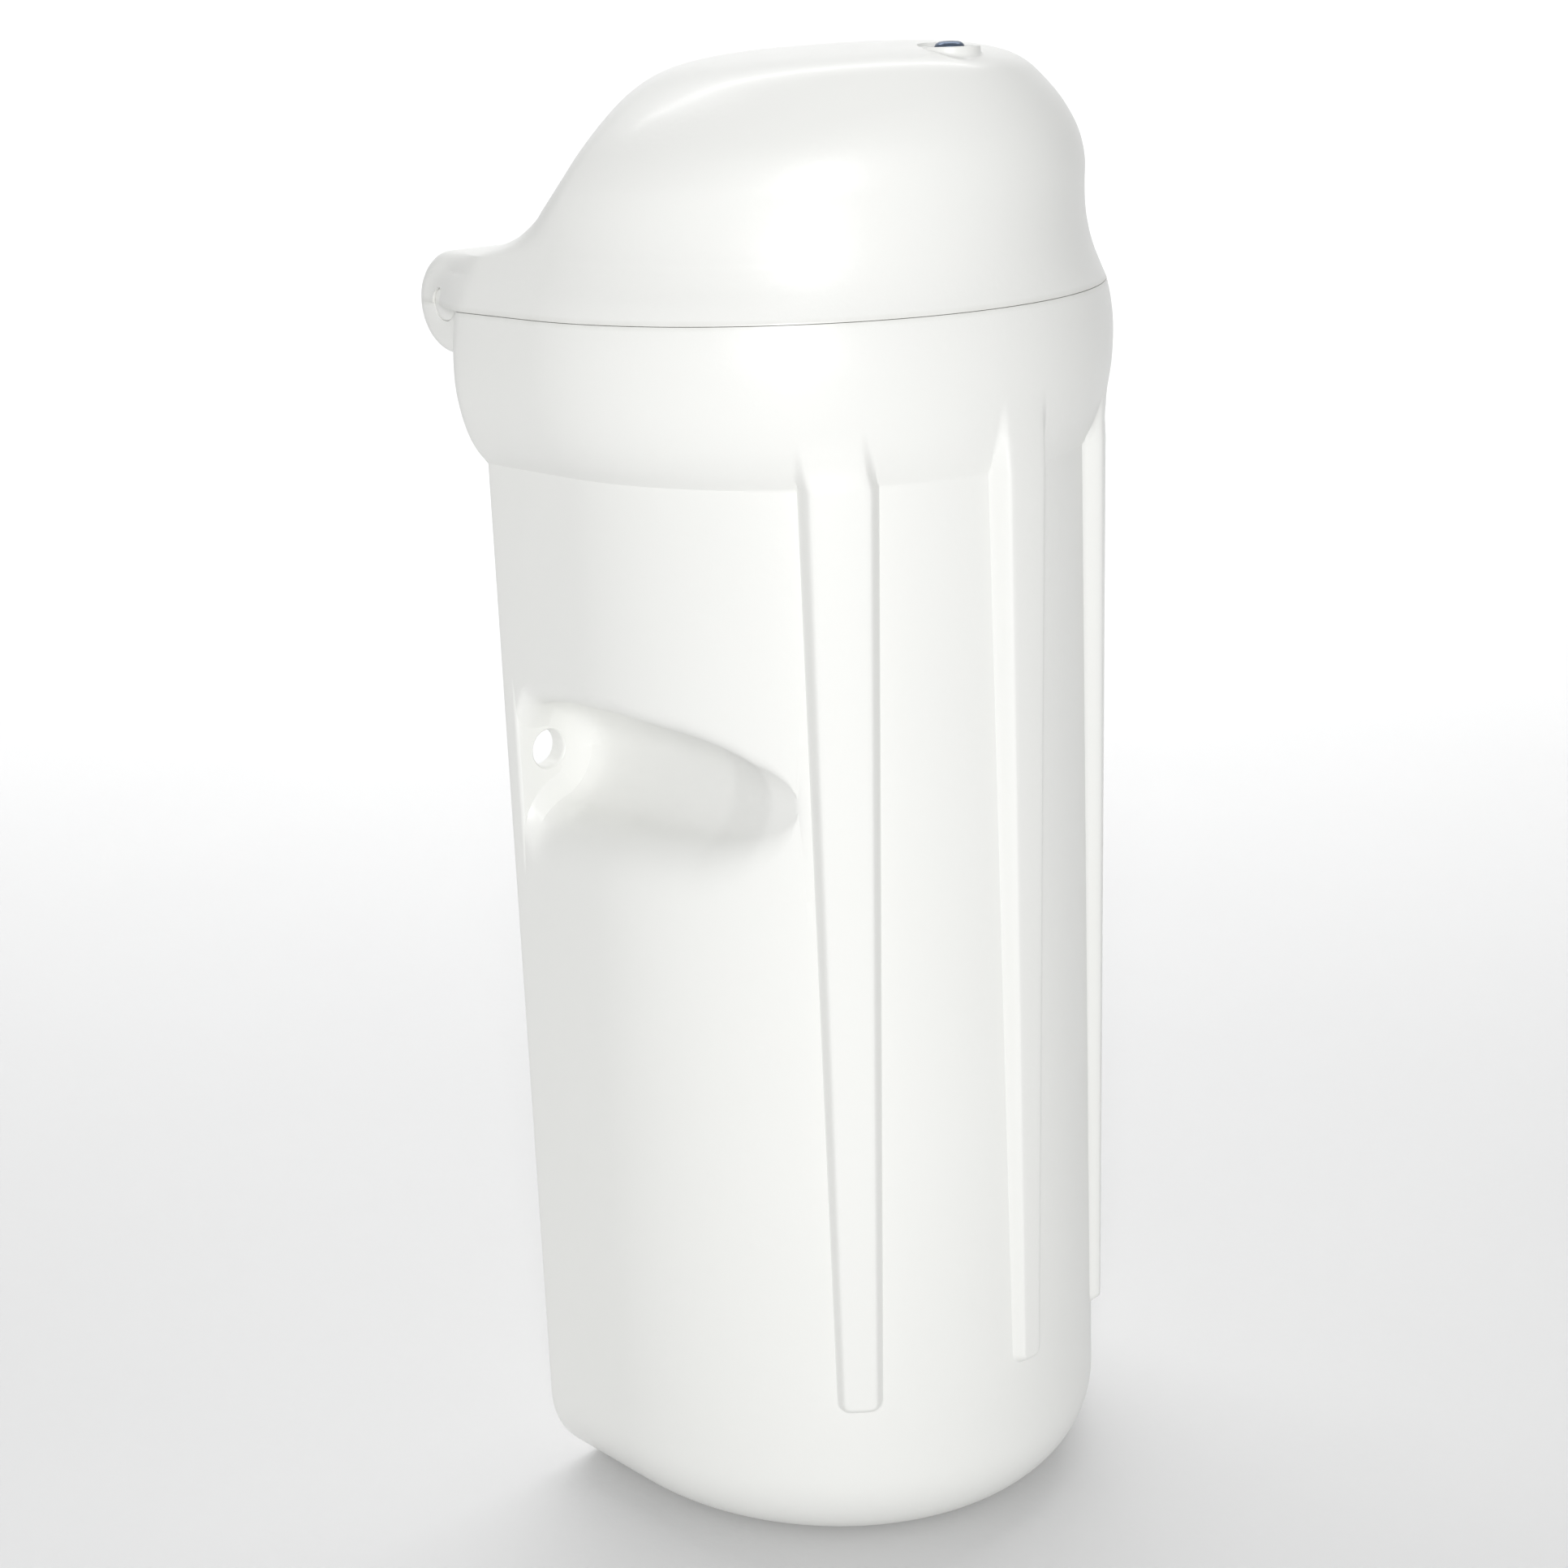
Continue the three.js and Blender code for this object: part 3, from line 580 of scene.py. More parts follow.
def nose_quarter(z, half, centre):
    """(x, y) from the side to the middle of the back, round the hinge nose at that height."""
    h = z - HINGE_Z
    core = NOSE_RADIUS - NOSE_ROUND
    y_back = HINGE_Y + math.sqrt(max(NOSE_RADIUS ** 2 - h ** 2, 0.0))
    corner_x = math.sqrt(max(NOSE_ROUND ** 2 - max(h - core, 0.0) ** 2, 0.0))
    end = NOSE_HALF - NOSE_ROUND + corner_x
    side_y = HINGE_Y + math.sqrt(max(core ** 2 - h ** 2, 0.0))
    t = np.linspace(0, 1, DENSE)
    side = np.stack([np.full(DENSE, half), lerp(centre, S_START, t)], 1)
    draw = np.stack([lerp(half, end, smoothstep(t)), lerp(S_START, side_y, t)], 1)
    a = t * np.pi / 2
    corner = np.stack([end - corner_x * (1 - np.cos(a)), side_y + (y_back - side_y) * np.sin(a)], 1)
    line = np.stack([lerp(end - corner_x, 0, t), np.full(DENSE, y_back)], 1)
    return np.concatenate([side, draw, corner, line])


LID_ROWS = spline(LID, 900)


def lid_at(z):
    """(half width, front, back, centre, squareness) of the dome at a height."""
    return [np.interp(z, LID_ROWS[:, 0], LID_ROWS[:, k]) for k in range(1, 6)]


def lid_ring(z, half, front, back, centre, square, nose=False):
    turn = np.linspace(0, np.pi / 2, DENSE)
    front_curve = np.stack([half * np.sin(turn), centre - (front + centre) * np.cos(turn)], 1)
    quarter = resample(superellipse_quarter(half, back - centre, square) + (0, centre), QUARTER_COLUMNS)
    if nose and z < NOSE_BLEND[-1][0]:
        nosed = resample(nose_quarter(min(z, NOSE_TOP_Z), half, centre), QUARTER_COLUMNS)
        y_back = np.interp(z, *np.array(NOSE_BLEND).T)
        share = (HINGE_Y - y_back) / (HINGE_Y - back) if z > NOSE_TOP_Z else 0.0
        quarter = lerp(nosed, quarter, share)
    right = np.concatenate([resample(front_curve, QUARTER_COLUMNS)[:-1], quarter])
    plan = np.concatenate([right, right[::-1][1:-1] * (-1, 1)])
    return np.column_stack([plan, np.full(len(plan), z)])


def lid_surface():
    """Vertices and faces of the lid's shell, with the hinge nose still solid."""
    nose_rise = [HINGE_Z + NOSE_RADIUS * math.sin(t) for t in np.linspace(0.05, math.pi / 2, 26)]
    levels = nose_rise + [z for z, _ in NOSE_BLEND[1:]] + list(np.linspace(348, 383.9, 62)) \
        + list(np.linspace(384.1, LID_TOP_Z, 8))
    edge = [(0.25, LID_LOW), (0.07, LID_LOW + 0.07), (0.0, LID_LOW + 0.25)]
    outer = []
    for inset, z in edge:
        half, front, back, centre, square = lid_at(z)
        outer.append(lid_ring(z, half - inset, front - inset, back, centre, square, nose=True))
    outer += [lid_ring(z, *lid_at(z), nose=True) for z in levels if z > LID_LOW + 0.5]
    top = outer[-1]
    middle = top.mean(axis=0)
    for share, rise in [(0.75, 0.08), (0.45, 0.14), (0.2, 0.17)]:
        outer.append(middle + (top - middle) * share + (0, 0, rise))
    inner_scale = (LID_TOP_Z - WALL - SEAM_Z) / (LID_TOP_Z - SEAM_Z)
    inner = []
    for z, half, front, back, centre, square in spline(LID, 60):
        at = max(SEAM_Z + (z - SEAM_Z) * inner_scale, LID_LOW)
        inner.append(lid_ring(at, half - WALL, front - WALL, min(back - WALL, BACK - WALL),
                              centre, square))
    return ring_stack(inner[::-1] + outer)


def hood_cutter():
    """The room for the body's knuckles: a half round behind a square bay, open below."""
    turn = np.linspace(math.pi / 2, 0, 25)
    arc = np.stack([HINGE_Y + HOOD_RADIUS * np.cos(turn), HINGE_Z + HOOD_RADIUS * np.sin(turn)], 1)
    section = np.concatenate([[(BACK, HINGE_Z - 2), (BACK, HINGE_Z + HOOD_RADIUS)], arc,
                              [(HINGE_Y + HOOD_RADIUS, HINGE_Z - 2)]])
    rings = [np.column_stack([np.full(len(section), x), section]) for x in (-HOOD_HALF, HOOD_HALF)]
    return new_object("cutter", *ring_stack(rings))


BORE_CLEARANCE = 0.15
CAP_CLEARANCE = 0.06
RECESS_X = NOSE_HALF - CAP_THICKNESS - 0.2


def end_knuckle(side):
    """The full-round end of the nose. Its upper half lies just under the lid's own surface."""
    tuck = 0.15
    bore = PIN_RADIUS + BORE_CLEARANCE
    recess = CAP_RADIUS + CAP_CLEARANCE
    turn = np.linspace(math.pi / 2, 0, 14)
    straight = NOSE_HALF - NOSE_ROUND
    core = NOSE_RADIUS - NOSE_ROUND
    round_end = [(core + NOSE_ROUND * math.sin(t), straight + NOSE_ROUND * math.cos(t)) for t in turn]
    profile = [(NOSE_RADIUS - 0.5, HOOD_HALF), (NOSE_RADIUS - 0.1, HOOD_HALF + 0.1),
               (NOSE_RADIUS, HOOD_HALF + 0.5)] + round_end \
        + [(recess + 0.5, NOSE_HALF), (recess + 0.1, NOSE_HALF - 0.08), (recess, NOSE_HALF - 0.4),
           (recess, RECESS_X), (bore, RECESS_X), (bore, HOOD_HALF)]
    verts, faces = lathe(profile, (0, HINGE_Y, HINGE_Z), "X", steps=112, closed=True)
    from_axis = np.hypot(verts[:, 1] - HINGE_Y, verts[:, 2] - HINGE_Z)
    upper = (verts[:, 2] > LID_LOW) & (from_axis > recess + 0.05)
    inner = np.array([(NOSE_RADIUS - tuck) / NOSE_RADIUS] * 2)
    verts[upper, 1:] = (verts[upper, 1:] - (HINGE_Y, HINGE_Z)) * inner + (HINGE_Y, HINGE_Z)
    verts[upper, 0] = np.minimum(verts[upper, 0], NOSE_HALF - tuck)
    verts[:, 0] *= side
    return new_object("end_knuckle", verts, faces)


def bolt_boss(dome):
    """The raised cup for the lid bolt, with a fillet laid on the dome all round."""
    columns = 120
    rings = []

    def height(x, y):
        return dome.ray_cast(Vector((x, y, 500.0)), Vector((0, 0, -1)))[0].z

    for a in np.linspace(0, 2 * np.pi, columns, endpoint=False):
        c, s = math.cos(a), math.sin(a)

        def on_dome(r):
            return height(r * c, BOSS_Y + r * s)

        rise = BOSS_TOP - on_dome(BOSS_RADIUS)
        reach = min(max(0.35 * rise, 0.25), 0.9)
        lip = min(max(0.3 * rise, 0.12), 0.35)
        foot = np.array([BOSS_RADIUS + reach, on_dome(BOSS_RADIUS + reach)])
        line = [foot + (1.0, -1.0), foot + (0.05, -0.03)]
        if rise > 0.6:
            bend = np.array([BOSS_RADIUS + 0.03, on_dome(BOSS_RADIUS + 0.03)])
            wall = np.array([BOSS_RADIUS, bend[1] + reach])
        else:
            bend = np.array([BOSS_RADIUS + 0.2, lerp(foot[1], BOSS_TOP, 0.9)])
            wall = np.array([BOSS_RADIUS + 0.02, BOSS_TOP - lip + 0.01])
        line += [(1 - t) ** 2 * foot + 2 * t * (1 - t) * bend + t * t * wall
                 for t in np.linspace(0, 1, 8)]
        line += [(BOSS_RADIUS - lip * (1 - math.cos(t)), BOSS_TOP - lip * (1 - math.sin(t)))
                 for t in np.linspace(0, math.pi / 2, 6)]
        line += [(DISH_RADIUS + 0.5, BOSS_TOP), (DISH_RADIUS + 0.15, BOSS_TOP - 0.12),
                 (DISH_RADIUS, BOSS_TOP - 0.5), (DISH_RADIUS, DISH_Z + 0.5),
                 (DISH_RADIUS - 0.15, DISH_Z + 0.15), (DISH_RADIUS - 0.5, DISH_Z),
                 (BORE_RADIUS + 0.4, DISH_Z), (BORE_RADIUS, DISH_Z - 0.3), (BORE_RADIUS, BOSS_LOW + 0.4),
                 (BORE_RADIUS + 0.4, BOSS_LOW), (BOSS_RADIUS - 0.6, BOSS_LOW),
                 (BOSS_RADIUS - 0.1, BOSS_LOW + 0.4)]
        line = np.array([np.asarray(q, float) for q in line])
        rings.append(np.stack([line[:, 0] * c, BOSS_Y + line[:, 0] * s, line[:, 1]], 1))
    rings.append(rings[0])
    return new_object("boss", *ring_stack(rings, cap_ends=False))


def lid_shell():
    verts, faces = lid_surface()
    dome = BVHTree.FromPolygons([tuple(v) for v in verts], faces)
    shell = new_object("lid_shell_skin", verts, faces)
    cut(shell, hood_cutter())
    bore = PIN_RADIUS + BORE_CLEARANCE
    recess = CAP_RADIUS + CAP_CLEARANCE
    ends = [rod_cutter([(bore, side * (HOOD_HALF - 3)), (bore, side * RECESS_X),
                        (recess, side * RECESS_X), (recess, side * (NOSE_HALF + 2))],
                       (0, HINGE_Y, HINGE_Z), "X") for side in (-1, 1)]
    well = rod_cutter([(BOSS_RADIUS - 0.4, BOSS_LOW - 6), (BOSS_RADIUS - 0.4, BOSS_TOP - 0.5),
                       (BOSS_RADIUS + 0.1, BOSS_TOP - 0.1), (BOSS_RADIUS + 0.5, BOSS_TOP + 0.8),
                       (BOSS_RADIUS + 1.5, BOSS_TOP + 4)], (0, BOSS_Y, 0), "Z")
    cut(shell, merge_into(well, *ends))
    merge_into(shell, end_knuckle(-1), end_knuckle(1), bolt_boss(dome))
    crease(shell)
    return shell


# ---- small hardware ----
def turned_ring(name, bore, radius, low, high, edge, axis_point=(0, BOSS_Y, 0), steps=72):
    """A washer or tube with rounded edges."""
    profile = rounded([(bore, (low + high) / 2), (bore, high), (radius, high), (radius, low), (bore, low),
                       (bore, (low + high) / 2)], edge, 3)
    return new_object(name, *lathe(profile[:-1], axis_point, "Z", steps, closed=True))


def hexagon(across, turn):
    """Radius of a hexagon of that size across the flats, at each angle."""
    sector = math.pi / 3
    return across / 2 / np.cos((turn + sector / 2) % sector - sector / 2)


def hex_nut(name, across, bore, low, high):
    turn = np.linspace(0, 2 * np.pi, 144, endpoint=False)
    flats = hexagon(across, turn)
    corner = flats.max()
    chamfer = 0.5
    sides = [(low, corner - chamfer * 1.4), (low + chamfer * 0.5, corner - chamfer * 0.5),
             (low + chamfer, corner), (high - chamfer, corner),
             (high - chamfer * 0.5, corner - chamfer * 0.5), (high, corner - chamfer * 1.4)]
    loops = [(z, np.minimum(flats, limit)) for z, limit in sides]
    loops += [(high, np.full_like(turn, bore + 0.4)), (high - 0.4, np.full_like(turn, bore)),
              (low + 0.4, np.full_like(turn, bore)), (low, np.full_like(turn, bore + 0.4))]
    rings = [np.stack([r * np.cos(turn), BOSS_Y + r * np.sin(turn), np.full_like(turn, z)], 1)
             for z, r in loops]
    return new_object(name, *ring_stack(rings + rings[:1], cap_ends=False))


def bolt():
    """A domed head with a hexagon socket, on a threaded shank."""
    head, low, side, top, socket, socket_low = 3.55, 382.8, 383.7, 385.1, 2.5, 383.7
    shank, end, pitch, depth = 2.0, 368.0, 0.7, 0.28
    profile = [(0.0, end), (shank - 0.9, end), (shank - 0.3, end + 0.5)]
    for k in range(int((DISH_Z - 2 - end - 0.8) / pitch)):
        z = end + 0.8 + k * pitch
        profile += [(shank - depth, z), (shank, z + 0.5 * pitch)]
    profile += [(shank, low - 0.4), (shank + 0.4, low), (head - 0.3, low), (head, low + 0.25)]
    profile += [(1.6 + (head - 1.6) * math.cos(t), side + (top - side) * math.sin(t))
                for t in np.linspace(0.0, math.pi / 2, 12)]
    profile += [(1.0, top), (0.0, top)]
    obj = new_object("lid_bolt_turned", *lathe(profile[1:-1], (0, BOSS_Y, 0), "Z", 72))
    turn = np.linspace(0, 2 * np.pi, 6, endpoint=False)
    r = socket / 2 / math.cos(math.pi / 6)
    rings = [np.stack([r * k * np.cos(turn), BOSS_Y + r * k * np.sin(turn), np.full(6, z)], 1)
             for z, k in [(socket_low, 1.0), (top - 0.25, 1.0), (top + 0.6, 1.5)]]
    cut(obj, new_object("cutter", *ring_stack(rings)))
    crease(obj, 30)
    return obj


def pin():
    end, edge = PIN_HALF, 0.6
    profile = [(PIN_RADIUS - edge, -end), (PIN_RADIUS, -end + edge), (PIN_RADIUS, end - edge),
               (PIN_RADIUS - edge, end)]
    return new_object("hinge_pin_turned", *lathe(profile, (0, HINGE_Y, HINGE_Z), "X", 48))


def pin_cap(name, side):
    edge, crown = 0.35, 0.12
    low, face = NOSE_HALF - CAP_THICKNESS, NOSE_HALF - crown
    profile = [(CAP_RADIUS - edge, low), (CAP_RADIUS, low + edge), (CAP_RADIUS, face - edge),
               (CAP_RADIUS - 0.1, face - 0.1), (CAP_RADIUS - edge, face), (2.4, NOSE_HALF - 0.03),
               (1.0, NOSE_HALF)]
    profile = [(r, side * x) for r, x in profile]
    return new_object(name, *lathe(profile, (0, HINGE_Y, HINGE_Z), "X", 64))


KEEPER_FACE = -71.2
KEEPER_THICK = 1.2


def rivet(name, x):
    """A domed head on the keeper."""
    head, height, z, steps = 2.6, 1.4, 327.0, 10
    low = KEEPER_FACE + KEEPER_THICK + GAP
    dome = [(head * math.cos(t), low + 0.3 + (height - 0.3) * math.sin(t))
            for t in np.linspace(0, math.pi / 2 - 0.12, steps)]
    return new_object(name, *lathe([(head - 0.15, low)] + dome, (x, 0, z), "Y", 48))


def gasket():
    """A soft ring with a rounded section, lying on the shelf outside the spigot."""
    half, front, square = RIM
    inner = COLLAR_INSET - GAP
    outer, low, high = inner - 1.6, SEAM_Z + GAP, SEAM_Z + GAP + 2.2
    profile = rounded([(inner, (low + high) / 2), (inner, low), (outer, low), (outer, high), (inner, high),
                       (inner, (low + high) / 2)], 0.6, 4)
    rings = [body_ring(z, half - inset, front - inset, BACK - inset, square) for inset, z in profile]
    return new_object("rim_gasket_ring", *ring_stack(rings, cap_ends=False))


# ---- the folded blanket, its tapes and patches ----
FOLD_HALF = 43.0
FOLD_FRONT = -60.0
FOLD_BACK = 22.0
FOLD_LOW = 3.6
FOLD_HIGH = 292.0
FOLD_CORNER = 16.0
FOLDS = 22                      # panels across the stack
PLIES = 4                       # thicknesses in each panel
# (z, pull) towards the middle, round the foot and the top of the stack.
FOLD_PULL = [(3.6, 13.0), (8.6, 6.5), (15.6, 2.4), (25.6, 0.6), (63.6, 0.0), (252.0, 0.0), (286.0, 0.8),
             (292.0, 3.2)]


def wander(values, seed, waves=3):
    """A smooth repeatable wobble, from -1 to 1."""
    rng = np.random.default_rng(seed)
    out = np.zeros_like(values, dtype=float)
    for k in range(waves):
        out += np.sin(values * rng.uniform(0.5, 1.6) * (k + 1) + rng.uniform(0, 6.28)) / (k + 1)
    return out / 1.8


def fold_path():
    """The zigzag seen from above: points, normals and length along it."""
    pitch = 2 * FOLD_HALF / FOLDS
    points, turns = [], []
    for k in range(FOLDS):
        x = -FOLD_HALF + pitch * (k + 0.5)
        over = max(abs(x) - (FOLD_HALF - FOLD_CORNER), 0.0)
        pull = FOLD_CORNER - math.sqrt(FOLD_CORNER ** 2 - over ** 2)
        uneven = 0.9 * math.sin(2.3 * k) + 0.6 * math.sin(5.1 * k + 1)
        low = FOLD_FRONT + pull + pitch / 2 + 1.5 + uneven
        high = FOLD_BACK - pull - pitch / 2 - 1.5 + 0.8 * math.sin(3.7 * k)
        ends = (low, high) if k % 2 == 0 else (high, low)
        for t in np.linspace(0, 1, 9):
            points.append((x, lerp(*ends, t)))
            turns.append((-1.0 if k % 2 == 0 else 1.0, 0.0))
        if k < FOLDS - 1:
            side = 1.0 if k % 2 == 0 else -1.0
            for t in np.linspace(0, math.pi, 8)[1:-1]:
                points.append((x + pitch / 2 * (1 - math.cos(t)), ends[1] + side * pitch / 2 * math.sin(t)))
                turns.append((-side * math.cos(t), math.sin(t)))
    points, turns = np.array(points), np.array(turns)
    along = np.concatenate([[0], np.cumsum(np.linalg.norm(np.diff(points, axis=0), axis=1))])
    return points, turns, along


def ply_path(ply):
    """The up and down of the cloth in one panel: (offset across the panel, z) and length along it."""
    inner_low, inner_high = FOLD_LOW + 1.0, FOLD_HIGH - 1.2
    points = []
    for k in range(PLIES):
        offset = (k - (PLIES - 1) / 2) * ply
        ends = (inner_low, inner_high) if k % 2 == 0 else (inner_high, inner_low)
        drop = 0.7 * math.sin(2.1 * k + 0.4)
        for t in np.linspace(0, 1, 11):
            z = lerp(*ends, t)
            points.append((offset, z + drop * smoothstep((z - 250) / 40)))
        if k < PLIES - 1:
            side = 1.0 if k % 2 == 0 else -1.0
            for t in np.linspace(0, math.pi, 6)[1:-1]:
                points.append((offset + ply / 2 * (1 - math.cos(t)), ends[1] + side * ply / 2 * math.sin(t)))
    points = np.array(points)
    along = np.concatenate([[0], np.cumsum(np.linalg.norm(np.diff(points, axis=0), axis=1))])
    return points, along


def cloth_object(name, grid, us, vs, closed_v=False):
    """A grid of points in millimetres as a mesh, with its flat position in metres as UVs."""
    rows, columns = grid.shape[:2]
    faces = []
    for r in range(rows - 1):
        for c in range(columns - (0 if closed_v else 1)):
            d = (c + 1) % columns
            faces.append((r * columns + c, r * columns + d, (r + 1) * columns + d, (r + 1) * columns + c))
    mesh = bpy.data.meshes.new(name)
    mesh.from_pydata([tuple(v) for v in grid.reshape(-1, 3) * MM], [], faces)
    layer = mesh.uv_layers.new(name="flat")
    flat = np.stack(np.meshgrid(us, vs, indexing="ij"), -1).reshape(-1, 2) * MM
    index = np.empty(len(mesh.loops), dtype=np.int32)
    mesh.loops.foreach_get("vertex_index", index)
    layer.data.foreach_set("uv", flat[index].ravel())
    mesh.polygons.foreach_set("use_smooth", [True] * len(mesh.polygons))
    obj = bpy.data.objects.new(name, mesh)
    bpy.context.scene.collection.objects.link(obj)
    return obj


def folded_blanket():
    pitch = 2 * FOLD_HALF / FOLDS
    ply = pitch / PLIES * 0.88
    path, normal, along = fold_path()
    column, down = ply_path(ply)
    grid = np.zeros((len(path), len(column), 3))
    grid[..., 0] = path[:, None, 0] + normal[:, None, 0] * column[None, :, 0]
    grid[..., 1] = path[:, None, 1] + normal[:, None, 1] * column[None, :, 0]
    sag = wander(along / 28.0, 4)[:, None] * smoothstep((column[None, :, 1] - 262) / 30)
    grid[..., 2] = column[None, :, 1] + 1.1 * np.minimum(sag, 0.9)
    z = grid[..., 2]
    pull = np.interp(z, *np.array(FOLD_PULL).T)
    middle_y = (FOLD_FRONT + FOLD_BACK) / 2
    deep = (FOLD_BACK - FOLD_FRONT) / 2
    grid[..., 0] = (grid[..., 0] + 0.7 * wander(z / 30 + grid[..., 1] / 26, 7)) * (1 - pull / FOLD_HALF)
    grid[..., 1] = middle_y + (grid[..., 1] - middle_y) * (1 - pull / deep)
    grid[..., 0] = np.clip(grid[..., 0], -FOLD_HALF, FOLD_HALF)
    blanket = cloth_object("fire_blanket_folded", grid, along, down)
    return blanket, (along[-1] * MM, down[-1] * MM)


TAPE_X = 21.0
TAPE_HALF = 12.5
TAPE_THICK = 1.5
TAPE_FROM = -34.0
TAPE_TO = 2.0
TAPE_RISE = 19.6
TAPE_LOW = FOLD_HIGH + GAP


def tape_line():
    """The loop seen from the side, (y, z) from its front foot over to its back foot."""
    centre, reach = (TAPE_FROM + TAPE_TO) / 2, (TAPE_TO - TAPE_FROM) / 2
    half = [(-reach + 7.5, 0.85), (-reach + 3.0, 0.95), (-reach + 1.2, 2.4), (-reach + 1.1, 5.0),
            (-reach + 2.6, 9.0), (-reach + 6.5, 14.5), (-8.5, TAPE_RISE - 1.6), (0, TAPE_RISE - 0.8)]
    points = half + [(-y, z) for y, z in half[::-1][1:]]
    return spline([(centre + y, TAPE_LOW + z) for y, z in points], 90)


def pull_tape(name, x):
    """A flat webbing strap with thickness and rounded selvedges."""
    line = tape_line()
    across = np.concatenate([np.linspace(-1, 1, 15), np.linspace(1, -1, 15)[1:-1]])
    lift = np.sqrt(np.clip(1 - np.abs(across) ** 8, 0, 1)) * np.array([1] * 15 + [-1] * 13) * TAPE_THICK / 2
    along = np.concatenate([[0], np.cumsum(np.linalg.norm(np.diff(line, axis=0), axis=1))])
    step = np.gradient(line, axis=0)
    step /= np.linalg.norm(step, axis=1)[:, None]
    up = np.stack([-step[:, 1], step[:, 0]], 1)
    grid = np.zeros((len(line), len(across), 3))
    curl = 0.35 * (across[None, :] ** 2) * np.sin(np.pi * along / along[-1])[:, None]
    skew = 0.5 * np.sin(along / along[-1] * 6.0)[:, None]
    grid[..., 0] = x + across[None, :] * (TAPE_HALF - 0.5) + 0.4 * skew
    grid[..., 1] = line[:, None, 0] + up[:, None, 0] * (lift[None, :] - curl)
    grid[..., 2] = np.maximum(line[:, None, 1] + up[:, None, 1] * (lift[None, :] - curl), TAPE_LOW + 0.02)
    strap = cloth_object(name, grid, along, across * TAPE_HALF, closed_v=True)
    bm = bmesh.new()
    bm.from_mesh(strap.data)
    for end in (0, len(line) - 1):
        bm.verts.ensure_lookup_table()
        bm.faces.new([bm.verts[end * len(across) + k] for k in range(len(across))])
    bmesh.ops.recalc_face_normals(bm, faces=bm.faces)
    bm.to_mesh(strap.data)
    bm.free()
    crease(strap, 60)
    return strap


PATCH_INSET = 8.4
PATCH_THICK = 1.4


def stitch(start, end, lift, thick=0.32):
    """One stitch as a small raised thread between two points on the patch."""
    start, end = np.array([*start, 0.0]), np.array([*end, 0.0])
    axis = (end - start) / np.linalg.norm(end - start)
    side = np.cross((0, 0, 1), axis)
    rings = []
    for t, size in zip(np.linspace(0, 1, 7), [0.25, 0.75, 1.0, 1.0, 1.0, 0.75, 0.25]):
        arch = lift + 0.22 * math.sin(math.pi * t)
        a = np.linspace(0, 2 * np.pi, 8, endpoint=False)
        rings.append(start + (end - start) * t + (0, 0, arch)
                     + size * thick * (np.outer(np.cos(a), side) + np.outer(np.sin(a), (0, 0, 0.8))))
    return ring_stack(rings)


SEAM_INSET = 1.9                # the patch's seam, in from its edge
SEAM_WIDTH = 1.3
EDGE_ROLL = 0.7                 # how far in the folded edge rounds over
SEWN_SHARE = 0.72               # thickness where the stitches pull it down
PUFF_SHARE = 0.28               # and what is added between them
STITCH_PITCH = 2.4


def tape_patch(name, x):
    """A doubled square of cloth sewn over the tape's feet, with a boxed cross of stitches."""
    cx, cy = x, (TAPE_FROM + TAPE_TO) / 2
    hx, hy = TAPE_HALF - 0.3, (TAPE_TO - TAPE_FROM) / 2 - PATCH_INSET
    n = 41
    u = np.linspace(-1, 1, n)
    ux, uy = np.meshgrid(u, u, indexing="ij")
    edge = np.minimum((1 - np.abs(ux)) * hx, (1 - np.abs(uy)) * hy)
    to_seam = np.abs(edge - SEAM_INSET)
    sx, sy = hx - SEAM_INSET, hy - SEAM_INSET
    diagonal = np.abs(np.abs(ux * hx) / sx - np.abs(uy * hy) / sy) * 3.5
    seam = np.minimum(to_seam, np.where(edge > SEAM_INSET, diagonal, 9.0))
    rolled = np.sqrt(np.clip(1 - (1 - np.clip(edge / EDGE_ROLL, 0, 1)) ** 2, 0, 1))
    puff = PATCH_THICK * (SEWN_SHARE + PUFF_SHARE * smoothstep(seam / SEAM_WIDTH)) * rolled
    top = np.stack([cx + ux * hx, cy + uy * hy, TAPE_LOW + 0.05 + puff], -1)
    floor = np.stack([cx + ux * hx, cy + uy * hy, np.full_like(ux, TAPE_LOW + 0.05)], -1)
    patch = cloth_object(name, top, u * hx, u * hy)
    under = cloth_object("under", floor, u * hx, u * hy)
    merge_into(patch, under)
    bm = bmesh.new()
    bm.from_mesh(patch.data)
    bmesh.ops.remove_doubles(bm, verts=bm.verts, dist=0.01 * MM)
    bmesh.ops.recalc_face_normals(bm, faces=bm.faces)
    bm.to_mesh(patch.data)
    bm.free()
    threads = []
    corners = [(-sx, -sy), (sx, -sy), (sx, sy), (-sx, sy)]
    lines = list(zip(corners, corners[1:] + corners[:1]))
    lines += [(corners[0], corners[2]), (corners[3], corners[1])]
    for a, b in lines:
        a, b = np.array(a), np.array(b)
        count = int(np.linalg.norm(b - a) / STITCH_PITCH)
        for k in range(count):
            start, end = lerp(a, b, (k + 0.14) / count), lerp(a, b, (k + 0.86) / count)
            threads.append(new_object("thread", *stitch(start + (cx, cy), end + (cx, cy),
                                                        TAPE_LOW + PATCH_THICK * SEWN_SHARE + 0.12)))
    sewn = merge_into(threads[0], *threads[1:])
    sewn.name = name + "_stitches"
    return patch, sewn


